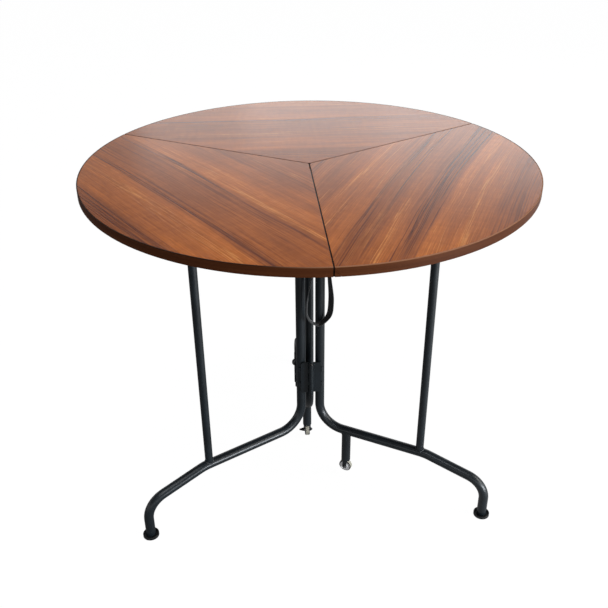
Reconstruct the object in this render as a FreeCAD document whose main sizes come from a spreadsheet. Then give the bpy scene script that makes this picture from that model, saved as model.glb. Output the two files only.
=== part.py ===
"""Three-page folding table: a round top in three flip-over leaves on a hinged tube frame.

Each page is a flat tube frame (post, strut, foot, outer upright, top rail) that carries one
120 degree leaf. The leaf turns on its page's top rail. The left page is the middle one: the
right page and the back page are hinged to it and swing against it once the leaves are turned.
Millimetres, +Z up, the floor at Z = 0 and the centre of the top on the Z axis.
The back page points along +Y.
"""
import FreeCAD
import Part
import math
import os
import Sketcher
from FreeCAD import Placement, Rotation, Vector

doc = FreeCAD.newDocument("folding_table")

# ---------------------------------------------------------------- driving dimensions
SIZES = [
    # top
    ("TopDiameter", 850), ("TableHeight", 727), ("BoardThickness", 16),
    ("BandThickness", 2), ("SeamGap", 2.5), ("SeamLand", 3), ("BevelRun", 10), ("TipRadius", 3),
    ("ToeClearance", 0.6), ("ToeStart", 26), ("ToeGrooveDepth", 1.4),
    # tube frame of one page
    ("TubeDiameter", 20), ("TubeWall", 1.5), ("PivotClearance", 0.3),
    ("PostReach", 23.5), ("PostBend", 55), ("StrutHeight", 120), ("KneeStart", 258),
    ("KneeBend", 90), ("StrutSlope", 14.5), ("FootReach", 404.5), ("FootBend", 50),
    ("UprightReach", 258), ("UprightDiameter", 16.5), ("UprightWall", 1.5),
    ("RailInnerReach", 12.5), ("RailOuterReach", 330),
    ("PlugFlange", 2), ("PlugDepth", 12), ("PlugClearance", 0.1),
    # feet
    ("DishDiameter", 33), ("DishHeight", 6), ("DishRim", 2), ("DishSole", 3), ("FootPlugDepth", 14),
    # leaf clips, screws and stop
    ("ClipThickness", 2), ("ClipWidth", 25), ("ClipFlange", 16),
    ("ClipInnerReach", 70), ("ClipOuterReach", 295),
    ("ScrewDiameter", 4), ("ScrewLength", 13), ("ScrewHeadDiameter", 8), ("ScrewHeadHeight", 2.2),
    ("StopReach", 120), ("StopWidth", 20), ("StopLength", 16), ("StopThickness", 3),
    ("PadThickness", 2.5), ("PadClearance", 0.3),
    # casters
    ("CasterReach", 89), ("WheelHeight", 21), ("WheelDiameter", 28), ("WheelWidth", 11),
    ("TyreThickness", 2), ("WheelClearance", 0.8),
    ("ForkRoom", 0.8), ("ForkThickness", 2), ("ForkWidth", 9),
    ("AxleDiameter", 5), ("RunningClearance", 0.05), ("CapBaseDiameter", 9), ("CapTipDiameter", 3),
    ("AxleHeadLength", 10.5), ("AxleNutLength", 4.2),
    # page hinges
    ("HingeReach", 33), ("HingeBottom", 216), ("HingeHeight", 76), ("HingePlateThickness", 3.5),
    ("HingePlateInner", 4.8), ("HingePlateOuter", 21.5), ("HingeCorner", 5),
    ("BarrelDiameter", 9), ("HingePinDiameter", 5), ("KnuckleGap", 0.4), ("PinTail", 5),
    ("PinHeadHeight", 2.5), ("WeldRadius", 2.4), ("WeldLength", 12),
    # strap and its two buttons
    ("StrapWidth", 16), ("StrapThickness", 1.5), ("PegDrop", 113), ("ButtonHeight", 277),
    ("PegDiameter", 5), ("PegHeadDiameter", 14), ("PegHeadHeight", 6), ("StrapDrop", 223),
    ("StrapBelly", 51), ("StrapBellyDrop", 172), ("StrapLean", 2.6),
    ("StrapTurn", 12), ("StrapTwist", 26), ("ButtonDiameter", 11), ("ButtonHeadHeight", 5),
]
KNUCKLES = 5
PAGES = {"back": 90.0, "left": 210.0, "right": 330.0}   # direction of each page, degrees
PAGE_ANGLE = 120.0

sheet = doc.addObject("Spreadsheet::Sheet", "Sizes")
for row, (alias, value) in enumerate(SIZES, start=1):
    sheet.set("A%d" % row, alias)
    sheet.set("B%d" % row, str(value))
    sheet.setAlias("B%d" % row, alias)
doc.recompute()


def size(alias):
    """A driving dimension, read back from the sheet."""
    return float(sheet.get(alias))


# Levels and reaches that several pieces share, worked out once from the sheet.
RAIL_AXIS = "(Sizes.TableHeight - Sizes.BoardThickness - Sizes.PivotClearance - Sizes.TubeDiameter / 2)"
BOARD_UNDERSIDE = "(Sizes.TableHeight - Sizes.BoardThickness)"
BOARD_RADIUS = "(Sizes.TopDiameter / 2 - Sizes.BandThickness)"
tube_radius = size("TubeDiameter") / 2
board_underside = size("TableHeight") - size("BoardThickness")
rail_axis = board_underside - size("PivotClearance") - tube_radius
peg_height = size("TableHeight") - size("PegDrop")
UP = Vector(0, 0, 1)
OUT = Vector(1, 0, 0)
PARTS = []


# ---------------------------------------------------------------- small helpers
def turned(azimuth, x=0.0, y=0.0, z=0.0):
    """Placement that turns a page-frame piece (page along +X) to its page's direction."""
    turn = Rotation(UP, azimuth)
    return Placement(turn.multVec(Vector(x, y, z)), turn)


def deliver(obj, label, azimuth=0.0, z=0.0):
    """Name a finished piece and list it for writing."""
    obj.Label = label
    obj.Placement = turned(azimuth, z=z).multiply(obj.Placement)
    PARTS.append(obj)
    return obj


def new_body(name):
    return doc.addObject("PartDesign::Body", name)


def plane_of(body, role):
    for feature in body.Origin.OriginFeatures:
        if feature.Role == role:
            return feature
    raise ValueError(role)


def new_sketch(body, role, name):
    sketch = body.newObject("Sketcher::SketchObject", name)
    sketch.AttachmentSupport = [(plane_of(body, role), "")]
    sketch.MapMode = "FlatFace"
    return sketch


def bind(sketch, index, expression):
    """Tie one constraint of a sketch to the sheet."""
    sketch.setExpression("Constraints[%d]" % index, expression)


def polygon(sketch, points):
    """Closed outline through the points. Each point's two coordinates are driven by the sheet.

    A point is (x, x_expression, y, y_expression). An expression of None pins the coordinate
    to the sketch axis.
    """
    count = len(points)
    for i in range(count):
        x0, _, y0, _ = points[i]
        x1, _, y1, _ = points[(i + 1) % count]
        sketch.addGeometry(Part.LineSegment(Vector(x0, y0, 0), Vector(x1, y1, 0)), False)
    for i in range(count):
        sketch.addConstraint(Sketcher.Constraint("Coincident", i, 2, (i + 1) % count, 1))
    for i, (x, x_expression, y, y_expression) in enumerate(points):
        for kind, value, expression in (("DistanceX", x, x_expression), ("DistanceY", y, y_expression)):
            if expression is None:
                axis = -2 if kind == "DistanceX" else -1
                sketch.addConstraint(Sketcher.Constraint("PointOnObject", i, 1, axis))
            else:
                index = sketch.addConstraint(Sketcher.Constraint(kind, -1, 1, i, 1, value))
                bind(sketch, index, expression)


def value_of(expression):
    """Number of a sheet expression, for a sketch's starting geometry."""
    return float(sheet.evalExpression(expression))


def point(x_expression, y_expression):
    """A polygon point from two sheet expressions."""
    x = 0.0 if x_expression is None else value_of(x_expression)
    y = 0.0 if y_expression is None else value_of(y_expression)
    return (x, x_expression, y, y_expression)


def outline(sketch, pairs):
    polygon(sketch, [point(x, y) for x, y in pairs])


def pad(body, sketch, name, length_expression, midplane=False):
    feature = body.newObject("PartDesign::Pad", name)
    feature.Profile = sketch
    feature.setExpression("Length", length_expression)
    feature.Midplane = midplane
    return feature


def pocket(body, sketch, name, length_expression, midplane=True):
    feature = body.newObject("PartDesign::Pocket", name)
    feature.Profile = sketch
    feature.setExpression("Length", length_expression)
    feature.Midplane = midplane
    return feature


def revolved_body(name, pairs):
    """Body of revolution about Z from (radius, height) expression pairs."""
    body = new_body(name)
    sketch = new_sketch(body, "XZ_Plane", name + "_profile")
    outline(sketch, pairs)
    feature = body.newObject("PartDesign::Revolution", name + "_turn")
    feature.Profile = sketch
    feature.ReferenceAxis = (sketch, ["V_Axis"])
    feature.Angle = 360.0
    return body


def cylinder(name, radius_expression, height_expression, placement, z_expression=None):
    """Part cylinder with its size in the sheet; it stands along its placement's Z."""
    obj = doc.addObject("Part::Cylinder", name)
    obj.setExpression("Radius", radius_expression)
    obj.setExpression("Height", height_expression)
    obj.Placement = placement
    if z_expression:
        obj.setExpression("Placement.Base.z", z_expression)
    return obj


def joined(name, pieces):
    obj = doc.addObject("Part::MultiFuse", name)
    obj.Shapes = pieces
    return obj


def cut(name, base, tool):
    obj = doc.addObject("Part::Cut", name)
    obj.Base = base
    obj.Tool = tool
    return obj


# ---------------------------------------------------------------- leaves
def sector_sketch(body, name, inner_expression, outer_expression):
    """Leaf outline: two seam edges set back by half the seam gap, closed by two arcs.

    The clockwise seam edge runs along X and the leaf opens counter-clockwise to 120 degrees.
    """
    sketch = new_sketch(body, "XY_Plane", name)
    inner = value_of(inner_expression)
    outer = value_of(outer_expression)
    half_gap = size("SeamGap") / 2
    opening = math.radians(PAGE_ANGLE)
    far_turn = math.asin(half_gap / outer)
    near_turn = math.asin(half_gap / inner)

    def at(radius, angle):
        return Vector(radius * math.cos(angle), radius * math.sin(angle), 0)

    near_start = at(inner, near_turn)
    far_start = at(outer, far_turn)
    far_end = at(outer, opening - far_turn)
    near_end = at(inner, opening - near_turn)
    sketch.addGeometry(Part.LineSegment(near_start, far_start), False)
    outer_circle = Part.Circle(Vector(0, 0, 0), UP, outer)
    sketch.addGeometry(Part.ArcOfCircle(outer_circle, far_turn, opening - far_turn), False)
    sketch.addGeometry(Part.LineSegment(far_end, near_end), False)
    inner_circle = Part.Circle(Vector(0, 0, 0), UP, inner)
    sketch.addGeometry(Part.ArcOfCircle(inner_circle, near_turn, opening - near_turn), False)
    add = sketch.addConstraint
    add(Sketcher.Constraint("Coincident", 1, 3, -1, 1))
    add(Sketcher.Constraint("Coincident", 3, 3, -1, 1))
    add(Sketcher.Constraint("Coincident", 0, 2, 1, 1))
    add(Sketcher.Constraint("Coincident", 1, 2, 2, 1))
    add(Sketcher.Constraint("Coincident", 2, 2, 3, 2))
    add(Sketcher.Constraint("Coincident", 0, 1, 3, 1))
    add(Sketcher.Constraint("Horizontal", 0))
    bind(sketch, add(Sketcher.Constraint("DistanceY", -1, 1, 0, 1, half_gap)), "Sizes.SeamGap / 2")
    bind(sketch, add(Sketcher.Constraint("Radius", 1, outer)), outer_expression)
    bind(sketch, add(Sketcher.Constraint("Radius", 3, inner)), inner_expression)
    add(Sketcher.Constraint("Angle", -1, 1, 2, 2, opening))
    bind(sketch, add(Sketcher.Constraint("Distance", -1, 1, 2, half_gap)), "Sizes.SeamGap / 2")
    return sketch


def leaf_solid(name, inner_expression, outer_expression):
    """One 120 degree slab with its clockwise seam edge undercut below a narrow land."""
    body = new_body(name)
    slab_outline = sector_sketch(body, name + "_outline", inner_expression, outer_expression)
    pad(body, slab_outline, name + "_slab", "Sizes.BoardThickness")
    bevel = new_sketch(body, "YZ_Plane", name + "_bevel")
    outline(bevel, [
        ("-Sizes.BevelRun", "-Sizes.SeamLand"),
        ("Sizes.SeamGap / 2 + Sizes.BevelRun * (1 + Sizes.SeamLand"
         " / (Sizes.BoardThickness - Sizes.SeamLand))", "-Sizes.SeamLand"),
        ("Sizes.SeamGap / 2", "Sizes.BoardThickness - Sizes.SeamLand"),
        ("-Sizes.BevelRun", "Sizes.BoardThickness - Sizes.SeamLand"),
    ])
    pocket(body, bevel, name + "_undercut", "2 * Sizes.TopDiameter")
    return body


def add_pilot_holes(body, name):
    """Blind holes in the leaf's underside for the clip screws."""
    depth = "Sizes.ScrewLength - Sizes.ClipThickness + 0.5"
    sketch = new_sketch(body, "XY_Plane", name + "_pilots")
    turn = math.radians(PAGE_ANGLE / 2)
    for index, (along, across) in enumerate(screw_spots()):
        x = along * math.cos(turn) - across * math.sin(turn)
        y = along * math.sin(turn) + across * math.cos(turn)
        sketch.addGeometry(Part.Circle(Vector(x, y, 0), UP, size("ScrewDiameter") / 2), False)
        radius = sketch.addConstraint(Sketcher.Constraint("Radius", index, size("ScrewDiameter") / 2))
        bind(sketch, radius, "Sizes.ScrewDiameter / 2 + Sizes.RunningClearance")
    feature = pocket(body, sketch, name + "_pilot_holes", depth, midplane=False)
    feature.Reversed = True


def seam_toe(inner, outer):
    """Toe along a leaf's counter-clockwise seam that fills the neighbour's undercut.

    Its slanted face runs parallel to the neighbour's bevel, so the seam is closed to the eye.
    """
    rise = size("BoardThickness") - size("SeamLand")
    half_gap = size("SeamGap") / 2
    run = half_gap - size("ToeClearance")
    corners = [(-2 * half_gap, 0), (run + size("BevelRun"), 0), (run, rise), (-2 * half_gap, rise)]
    ring = Part.makeCylinder(outer, rise).cut(Part.makeCylinder(inner, rise))
    return seam_prism(corners, inner - 5, outer + 5).common(ring)


def seam_prism(corners, start, end):
    """Bar along the counter-clockwise seam from its (across, height) section."""
    turn = Rotation(UP, PAGE_ANGLE)
    along = turn.multVec(OUT)
    across = turn.multVec(Vector(0, 1, 0))
    points = [along * start + across * a + UP * z for a, z in corners]
    return Part.Face(Part.makePolygon(points + points[:1])).extrude(along * (end - start))


def rim_groove():
    """Shallow upright groove in the rim that carries the seam on down to the underside."""
    rise = size("BoardThickness") - size("SeamLand")
    half_gap = size("SeamGap") / 2
    outer = size("TopDiameter") / 2
    corners = [(-half_gap, -1), (half_gap, -1), (half_gap, rise), (-half_gap, rise)]
    skin = Part.makeCylinder(outer + 1, rise).cut(Part.makeCylinder(outer - size("ToeGrooveDepth"), rise))
    return seam_prism(corners, outer - 10, outer + 5).common(skin)


def screw_spots():
    """Places of the eight clip screws of a leaf, along and across its rail."""
    across = tube_radius + size("PivotClearance") + size("ClipThickness") + size("ClipFlange") / 2
    along = size("ClipWidth") / 4
    spots = []
    for reach in (size("ClipInnerReach"), size("ClipOuterReach")):
        for side in (-1, 1):
            for end in (-1, 1):
                spots.append((reach + end * along, side * across))
    return spots


def make_leaf(page, azimuth):
    """Board with its curved edge band, both with a seam toe, the two rail clips and their screws."""
    board = leaf_solid("board_" + page, "Sizes.TipRadius", BOARD_RADIUS)
    add_pilot_holes(board, "board_" + page)
    board_edge = size("TopDiameter") / 2 - size("BandThickness")
    board_toe = doc.addObject("Part::Feature", "board_toe_" + page)
    board_toe.Shape = seam_toe(size("ToeStart"), board_edge)
    board = joined("board_with_toe_" + page, [board, board_toe])
    deliver(board, "leaf_board_" + page, azimuth - PAGE_ANGLE / 2, board_underside)
    band = leaf_solid("band_" + page, BOARD_RADIUS, "(Sizes.TopDiameter / 2)")
    band_toe = doc.addObject("Part::Feature", "band_toe_" + page)
    band_toe.Shape = seam_toe(board_edge, size("TopDiameter") / 2).cut(rim_groove())
    band = joined("band_with_toe_" + page, [band, band_toe])
    deliver(band, "leaf_edge_band_" + page, azimuth - PAGE_ANGLE / 2, board_underside)
    make_clips(page, azimuth)
    make_clip_screws(page, azimuth)


def make_clips(page, azimuth):
    """Two U clips that hold the leaf on its rail and let it turn there."""
    inner = tube_radius + size("PivotClearance")
    outer = inner + size("ClipThickness")
    reach = outer + size("ClipFlange")
    drop = size("PivotClearance") + tube_radius
    thick = size("ClipThickness")
    hole = size("ScrewDiameter") / 2 + size("PivotClearance")
    shapes = []
    for centre in (size("ClipInnerReach"), size("ClipOuterReach")):
        start = centre - size("ClipWidth") / 2
        width = size("ClipWidth")
        saddle = Part.makeCylinder(outer, width, Vector(start, 0, 0), OUT)
        walls = Part.makeBox(width, 2 * outer, drop, Vector(start, -outer, 0))
        flanges = Part.makeBox(width, 2 * reach, thick, Vector(start, -reach, drop - thick))
        space = Part.makeCylinder(inner, width, Vector(start, 0, 0), OUT)
        mouth = Part.makeBox(width, 2 * inner, drop, Vector(start, -inner, 0))
        above = Part.makeBox(width, 4 * outer, 2 * outer, Vector(start, -2 * outer, drop))
        clip = saddle.fuse([walls, flanges]).cut(space.fuse(mouth)).cut(above)
        for along, across in screw_spots():
            if abs(along - centre) < width:
                clip = clip.cut(Part.makeCylinder(hole, 3 * thick, Vector(along, across, drop - 2 * thick)))
        shapes.append(clip.removeSplitter())
    clips = doc.addObject("Part::Feature", "clips_" + page)
    clips.Shape = Part.makeCompound(shapes)
    deliver(clips, "leaf_clips_" + page, azimuth, rail_axis)


def make_clip_screws(page, azimuth):
    """Eight round-head screws up through the clip flanges into the board."""
    top = board_underside - size("ClipThickness")
    radius = size("ScrewDiameter") / 2
    head = size("ScrewHeadDiameter") / 2
    shapes = []
    for along, across in screw_spots():
        seat = Vector(along, across, top)
        shank = Part.makeCylinder(radius, size("ScrewLength"), seat)
        cap = Part.makeCone(0.6 * head, head, size("ScrewHeadHeight"), seat - UP * size("ScrewHeadHeight"))
        shapes.append(shank.fuse(cap))
    screws = doc.addObject("Part::Feature", "clip_screws_" + page)
    screws.Shape = Part.makeCompound(shapes)
    deliver(screws, "clip_screws_" + page, azimuth)


# ---------------------------------------------------------------- page frame
def tube_path(body, name):
    """Centre line of the bent main tube: post, strut, sloping outer strut and foot."""
    sketch = new_sketch(body, "XZ_Plane", name)
    slope = math.radians(size("StrutSlope"))
    post_x = size("PostReach")
    foot_x = size("FootReach")
    strut_z = size("StrutHeight")
    bend, knee, drop = size("PostBend"), size("KneeBend"), size("FootBend")
    knee_start = Vector(size("KneeStart"), strut_z, 0)
    knee_centre = knee_start - Vector(0, knee, 0)
    knee_end = knee_centre + Vector(math.sin(slope), math.cos(slope), 0) * knee
    drop_centre_x = foot_x - drop
    run = (drop_centre_x + drop * math.sin(slope) - knee_end.x) / math.cos(slope)
    slope_end = knee_end + Vector(math.cos(slope), -math.sin(slope), 0) * run
    drop_centre = slope_end - Vector(math.sin(slope), math.cos(slope), 0) * drop
    foot_top = drop_centre + Vector(drop, 0, 0)
    foot_end = Vector(foot_x, size("DishSole"), 0)
    bend_centre = Vector(post_x + bend, strut_z + bend, 0)
    half = math.pi / 2
    elements = [
        Part.LineSegment(Vector(post_x, rail_axis, 0), Vector(post_x, strut_z + bend, 0)),
        Part.ArcOfCircle(Part.Circle(bend_centre, UP, bend), 2 * half, 3 * half),
        Part.LineSegment(Vector(post_x + bend, strut_z, 0), knee_start),
        Part.ArcOfCircle(Part.Circle(knee_centre, UP, knee), half - slope, half),
        Part.LineSegment(knee_end, slope_end),
        Part.ArcOfCircle(Part.Circle(drop_centre, UP, drop), 0, half - slope),
        Part.LineSegment(foot_top, foot_end),
    ]
    for element in elements:
        sketch.addGeometry(element, False)
    add = sketch.addConstraint
    for line, line_end, arc, arc_end in ((0, 2, 1, 1), (2, 1, 1, 2), (2, 2, 3, 2),
                                         (4, 1, 3, 1), (4, 2, 5, 2), (6, 1, 5, 1)):
        add(Sketcher.Constraint("Tangent", line, line_end, arc, arc_end))
    add(Sketcher.Constraint("Vertical", 0))
    add(Sketcher.Constraint("Horizontal", 2))
    add(Sketcher.Constraint("Vertical", 6))
    driven = [
        (("DistanceX", -1, 1, 0, 1, post_x), "Sizes.PostReach"),
        (("DistanceY", -1, 1, 0, 1, rail_axis), RAIL_AXIS),
        (("Radius", 1, bend), "Sizes.PostBend"),
        (("DistanceY", -1, 1, 2, 1, strut_z), "Sizes.StrutHeight"),
        (("DistanceX", -1, 1, 2, 2, knee_start.x), "Sizes.KneeStart"),
        (("Radius", 3, knee), "Sizes.KneeBend"),
        (("Angle", 4, 1, -1, 1, slope), "Sizes.StrutSlope"),
        (("Radius", 5, drop), "Sizes.FootBend"),
        (("DistanceX", -1, 1, 6, 1, foot_x), "Sizes.FootReach"),
        (("DistanceY", -1, 1, 6, 2, foot_end.y), "Sizes.DishSole"),
    ]
    for arguments, expression in driven:
        bind(sketch, add(Sketcher.Constraint(*arguments)), expression)
    return sketch


def swept_tube(name, path, radius_expression):
    """Solid rod along the path sketch."""
    ring = doc.addObject("Part::Circle", name + "_ring")
    ring.setExpression("Radius", radius_expression)
    ring.setExpression("Placement.Base.x", "Sizes.PostReach")
    ring.setExpression("Placement.Base.z", RAIL_AXIS)
    sweep = doc.addObject("Part::Sweep", name)
    sweep.Sections = [ring]
    sweep.Spine = (path, ["Edge%d" % (i + 1) for i in range(7)])
    sweep.Solid = True
    sweep.Frenet = False
    return sweep


def rail_rod(name, radius_expression):
    """Solid rod along the top rail."""
    placement = Placement(Vector(size("RailInnerReach"), 0, rail_axis), Rotation(UP, OUT))
    length = "Sizes.RailOuterReach - Sizes.RailInnerReach"
    rod = cylinder(name, radius_expression, length, placement, RAIL_AXIS)
    rod.setExpression("Placement.Base.x", "Sizes.RailInnerReach")
    return rod


def make_frame(page, azimuth):
    """Main tube, outer upright, top rail with its stop and end plugs, and the foot glide."""
    holder = new_body("path_holder_" + page)
    path = tube_path(holder, "tube_path_" + page)
    doc.recompute()
    tube_outside = swept_tube("tube_outside_" + page, path, "Sizes.TubeDiameter / 2")
    tube_inside = swept_tube("tube_inside_" + page, path, "Sizes.TubeDiameter / 2 - Sizes.TubeWall")
    rail_outside = rail_rod("rail_outside_" + page, "Sizes.TubeDiameter / 2")
    rail_inside = rail_rod("rail_inside_" + page, "Sizes.TubeDiameter / 2 - Sizes.TubeWall")

    removed = joined("tube_removed_" + page, [tube_inside, rail_outside])
    tube = cut("main_tube_" + page, tube_outside, removed)
    deliver(tube, "main_tube_" + page, azimuth)

    rail = cut("top_rail_" + page, rail_outside, rail_inside)
    deliver(rail, "top_rail_" + page, azimuth)

    stand = Placement(Vector(size("UprightReach"), 0, 0), Rotation())
    span = RAIL_AXIS + " - Sizes.StrutHeight + 2 * Sizes.TubeDiameter"
    low = "Sizes.StrutHeight - 2 * Sizes.TubeDiameter"
    upright_outside = cylinder("upright_outside_" + page, "Sizes.UprightDiameter / 2", span, stand, low)
    upright_inside = cylinder("upright_inside_" + page, "Sizes.UprightDiameter / 2 - Sizes.UprightWall",
                              span, stand, low)
    for obj in (upright_outside, upright_inside):
        obj.setExpression("Placement.Base.x", "Sizes.UprightReach")
    upright_removed = joined("upright_removed_" + page, [upright_inside, tube_outside, rail_outside])
    trimmed = cut("upright_trimmed_" + page, upright_outside, upright_removed)
    doc.recompute()
    upright = doc.addObject("Part::Feature", "upright_" + page)
    upright.Shape = largest_solid(trimmed.Shape)
    deliver(upright, "outer_upright_" + page, azimuth)

    make_plugs(page, azimuth)
    make_stop(page, azimuth)
    make_foot(page, azimuth)
    return tube_outside


def largest_solid(shape):
    """The piece that stays after a tube end is saddle-cut: the offcut is dropped."""
    return max(shape.Solids, key=lambda solid: solid.Volume)


def make_plugs(page, azimuth):
    """Two push-in plastic plugs that close the rail ends."""
    bore = tube_radius - size("TubeWall") - size("PlugClearance")
    shapes = []
    for reach, direction in ((size("RailInnerReach"), -1), (size("RailOuterReach"), 1)):
        face = Vector(reach, 0, rail_axis)
        flange = Part.makeCylinder(tube_radius, size("PlugFlange"), face, OUT * direction)
        away = [edge for edge in flange.Edges if abs(edge.CenterOfMass.x - reach) > size("PlugFlange") / 2]
        rim = [edge for edge in away if edge.Closed and len(edge.Vertexes) == 1]
        flange = flange.makeFillet(0.4 * size("PlugFlange"), rim)
        stem = Part.makeCylinder(bore, size("PlugDepth"), face, OUT * -direction)
        shapes.append(flange.fuse(stem))
    plugs = doc.addObject("Part::Feature", "plugs_" + page)
    plugs.Shape = Part.makeCompound(shapes)
    deliver(plugs, "rail_plugs_" + page, azimuth)


def make_stop(page, azimuth):
    """Stop tab welded beside the rail, with the soft pad that the flat leaf rests on.

    It stands on the clockwise side, where the leaf rises when it is turned.
    """
    top = board_underside - size("PadClearance") - size("PadThickness")
    start = size("StopReach") - size("StopWidth") / 2
    reach = tube_radius + size("StopLength")
    tab = Part.makeBox(size("StopWidth"), reach, size("StopThickness"),
                       Vector(start, -reach, top - size("StopThickness")))
    rail_space = Part.makeCylinder(tube_radius, 2 * size("StopWidth"),
                                   Vector(start - size("StopWidth") / 2, 0, rail_axis), OUT)
    stop = doc.addObject("Part::Feature", "stop_" + page)
    stop.Shape = tab.cut(rail_space)
    deliver(stop, "leaf_stop_" + page, azimuth)
    margin = size("StopThickness") / 2
    pad_block = Part.makeBox(size("StopWidth") - 2 * margin, size("StopLength") - 2 * margin,
                             size("PadThickness"), Vector(start + margin, -reach + margin, top))
    rubber = doc.addObject("Part::Feature", "stop_pad_" + page)
    rubber.Shape = pad_block
    deliver(rubber, "leaf_stop_pad_" + page, azimuth)


def make_foot(page, azimuth):
    """Round dished glide: the tube end stands in the dish and a plug holds it from inside."""
    plug = "Sizes.TubeDiameter / 2 - Sizes.TubeWall - Sizes.PlugClearance"
    glide = revolved_body("foot_glide_" + page, [
        (None, None),
        ("Sizes.DishDiameter / 2 - 0.5", None),
        ("Sizes.DishDiameter / 2", "0.5"),
        ("Sizes.DishDiameter / 2", "Sizes.DishHeight - 0.5"),
        ("Sizes.DishDiameter / 2 - 0.5", "Sizes.DishHeight"),
        ("Sizes.DishDiameter / 2 - Sizes.DishRim", "Sizes.DishHeight"),
        ("Sizes.DishDiameter / 2 - Sizes.DishRim - 1", "Sizes.DishSole"),
        (plug, "Sizes.DishSole"),
        (plug, "Sizes.DishSole + Sizes.FootPlugDepth - 1"),
        (plug + " - 1", "Sizes.DishSole + Sizes.FootPlugDepth"),
        (None, "Sizes.DishSole + Sizes.FootPlugDepth"),
    ])
    glide.Placement = Placement(Vector(size("FootReach"), 0, 0), Rotation())
    deliver(glide, "foot_glide_" + page, azimuth)


# ---------------------------------------------------------------- casters
def make_caster(page, azimuth, tube_outside):
    """Short leg under the strut with a small wheel in a fork at its end."""
    reach = size("CasterReach")
    low = "(Sizes.WheelHeight + Sizes.WheelDiameter / 2 + Sizes.ForkRoom + Sizes.ForkThickness)"
    stand = Placement(Vector(reach, 0, 0), Rotation())
    height = "Sizes.StrutHeight - " + low
    outside = cylinder("leg_outside_" + page, "Sizes.TubeDiameter / 2", height, stand, low)
    inside = cylinder("leg_inside_" + page, "Sizes.TubeDiameter / 2 - Sizes.TubeWall", height, stand, low)
    for obj in (outside, inside):
        obj.setExpression("Placement.Base.x", "Sizes.CasterReach")
    leg = cut("caster_leg_" + page, outside, joined("leg_removed_" + page, [inside, tube_outside]))
    deliver(leg, "caster_leg_" + page, azimuth)

    centre = Vector(reach, 0, size("WheelHeight"))
    make_fork(page, azimuth, centre)
    make_wheel(page, azimuth, centre)
    make_axle(page, azimuth, centre)


def fork_half_gap():
    return size("WheelWidth") / 2 + size("WheelClearance")


def make_fork(page, azimuth, centre):
    """Bent strap fork welded across the leg's end, its two cheeks rounded about the axle."""
    across = Vector(0, 1, 0)
    half_gap, thick, wide = fork_half_gap(), size("ForkThickness"), size("ForkWidth")
    outer = half_gap + thick
    rise = size("WheelDiameter") / 2 + size("ForkRoom")
    corner = centre - Vector(wide / 2, outer, 0)
    strap = Part.makeBox(wide, 2 * outer, rise + thick, corner)
    ends = Part.makeCylinder(wide / 2, 2 * outer, centre - across * outer, across)
    space = Part.makeBox(2 * wide, 2 * half_gap, rise + wide, centre - Vector(wide, half_gap, wide))
    bore = Part.makeCylinder(size("AxleDiameter") / 2, 2 * outer, centre - across * outer, across)
    fork = doc.addObject("Part::Feature", "fork_" + page)
    fork.Shape = strap.fuse(ends).cut(space.fuse(bore)).removeSplitter()
    deliver(fork, "caster_fork_" + page, azimuth)


def make_wheel(page, azimuth, centre):
    """Moulded wheel centre with a soft tyre; both turn on the axle."""
    rim = "(Sizes.WheelDiameter / 2 - Sizes.TyreThickness)"
    half = "Sizes.WheelWidth / 2"
    bore = "Sizes.AxleDiameter / 2 + Sizes.RunningClearance"
    hub = revolved_body("wheel_" + page, [
        (bore, "-(%s)" % half),
        ("Sizes.AxleDiameter / 2 + 3", "-(%s)" % half),
        ("Sizes.AxleDiameter / 2 + 4", "-Sizes.WheelWidth / 2 + 1.5"),
        (rim + " - 2", "-Sizes.WheelWidth / 2 + 1.5"),
        (rim + " - 1", "-Sizes.WheelWidth / 2 + 0.5"),
        (rim, "-Sizes.WheelWidth / 2 + 0.5"),
        (rim, "Sizes.WheelWidth / 2 - 0.5"),
        (rim + " - 1", "Sizes.WheelWidth / 2 - 0.5"),
        (rim + " - 2", "Sizes.WheelWidth / 2 - 1.5"),
        ("Sizes.AxleDiameter / 2 + 4", "Sizes.WheelWidth / 2 - 1.5"),
        ("Sizes.AxleDiameter / 2 + 3", half),
        (bore, half),
    ])
    tyre = revolved_body("tyre_" + page, [
        (rim, "-(%s)" % half),
        ("Sizes.WheelDiameter / 2 - 1.5", "-(%s)" % half),
        ("Sizes.WheelDiameter / 2", "-Sizes.WheelWidth / 2 + 1.5"),
        ("Sizes.WheelDiameter / 2", "Sizes.WheelWidth / 2 - 1.5"),
        ("Sizes.WheelDiameter / 2 - 1.5", half),
        (rim, half),
    ])
    for body, label in ((hub, "caster_wheel_"), (tyre, "caster_tyre_")):
        body.Placement = Placement(centre, Rotation(UP, Vector(0, 1, 0)))
        deliver(body, label + page, azimuth)


def make_axle(page, azimuth, centre):
    """Axle bolt with a pointed head on one side and a pointed cap nut on the other."""
    across = Vector(0, 1, 0)
    shank_radius = size("AxleDiameter") / 2
    base, tip = size("CapBaseDiameter") / 2, size("CapTipDiameter") / 2
    seat = fork_half_gap() + size("ForkThickness")
    nut_length = size("AxleNutLength")
    head = Part.makeCone(base, tip, size("AxleHeadLength"), centre + across * seat, across)
    shank = Part.makeCylinder(shank_radius, 2 * seat + nut_length / 2, centre + across * seat, -across)
    axle = doc.addObject("Part::Feature", "axle_" + page)
    axle.Shape = head.fuse(shank).removeSplitter()
    deliver(axle, "caster_axle_" + page, azimuth)
    nut = doc.addObject("Part::Feature", "axle_nut_" + page)
    nut.Shape = Part.makeCone(base, tip, nut_length, centre - across * seat, -across).cut(shank)
    deliver(nut, "caster_axle_nut_" + page, azimuth)


# ---------------------------------------------------------------- page hinges
def knuckle_levels():
    """Bottom and height of each barrel knuckle."""
    pitch = size("HingeHeight") / KNUCKLES
    gap = size("KnuckleGap")
    return [(size("HingeBottom") + i * pitch + gap / 2, pitch - gap) for i in range(KNUCKLES)]


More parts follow.
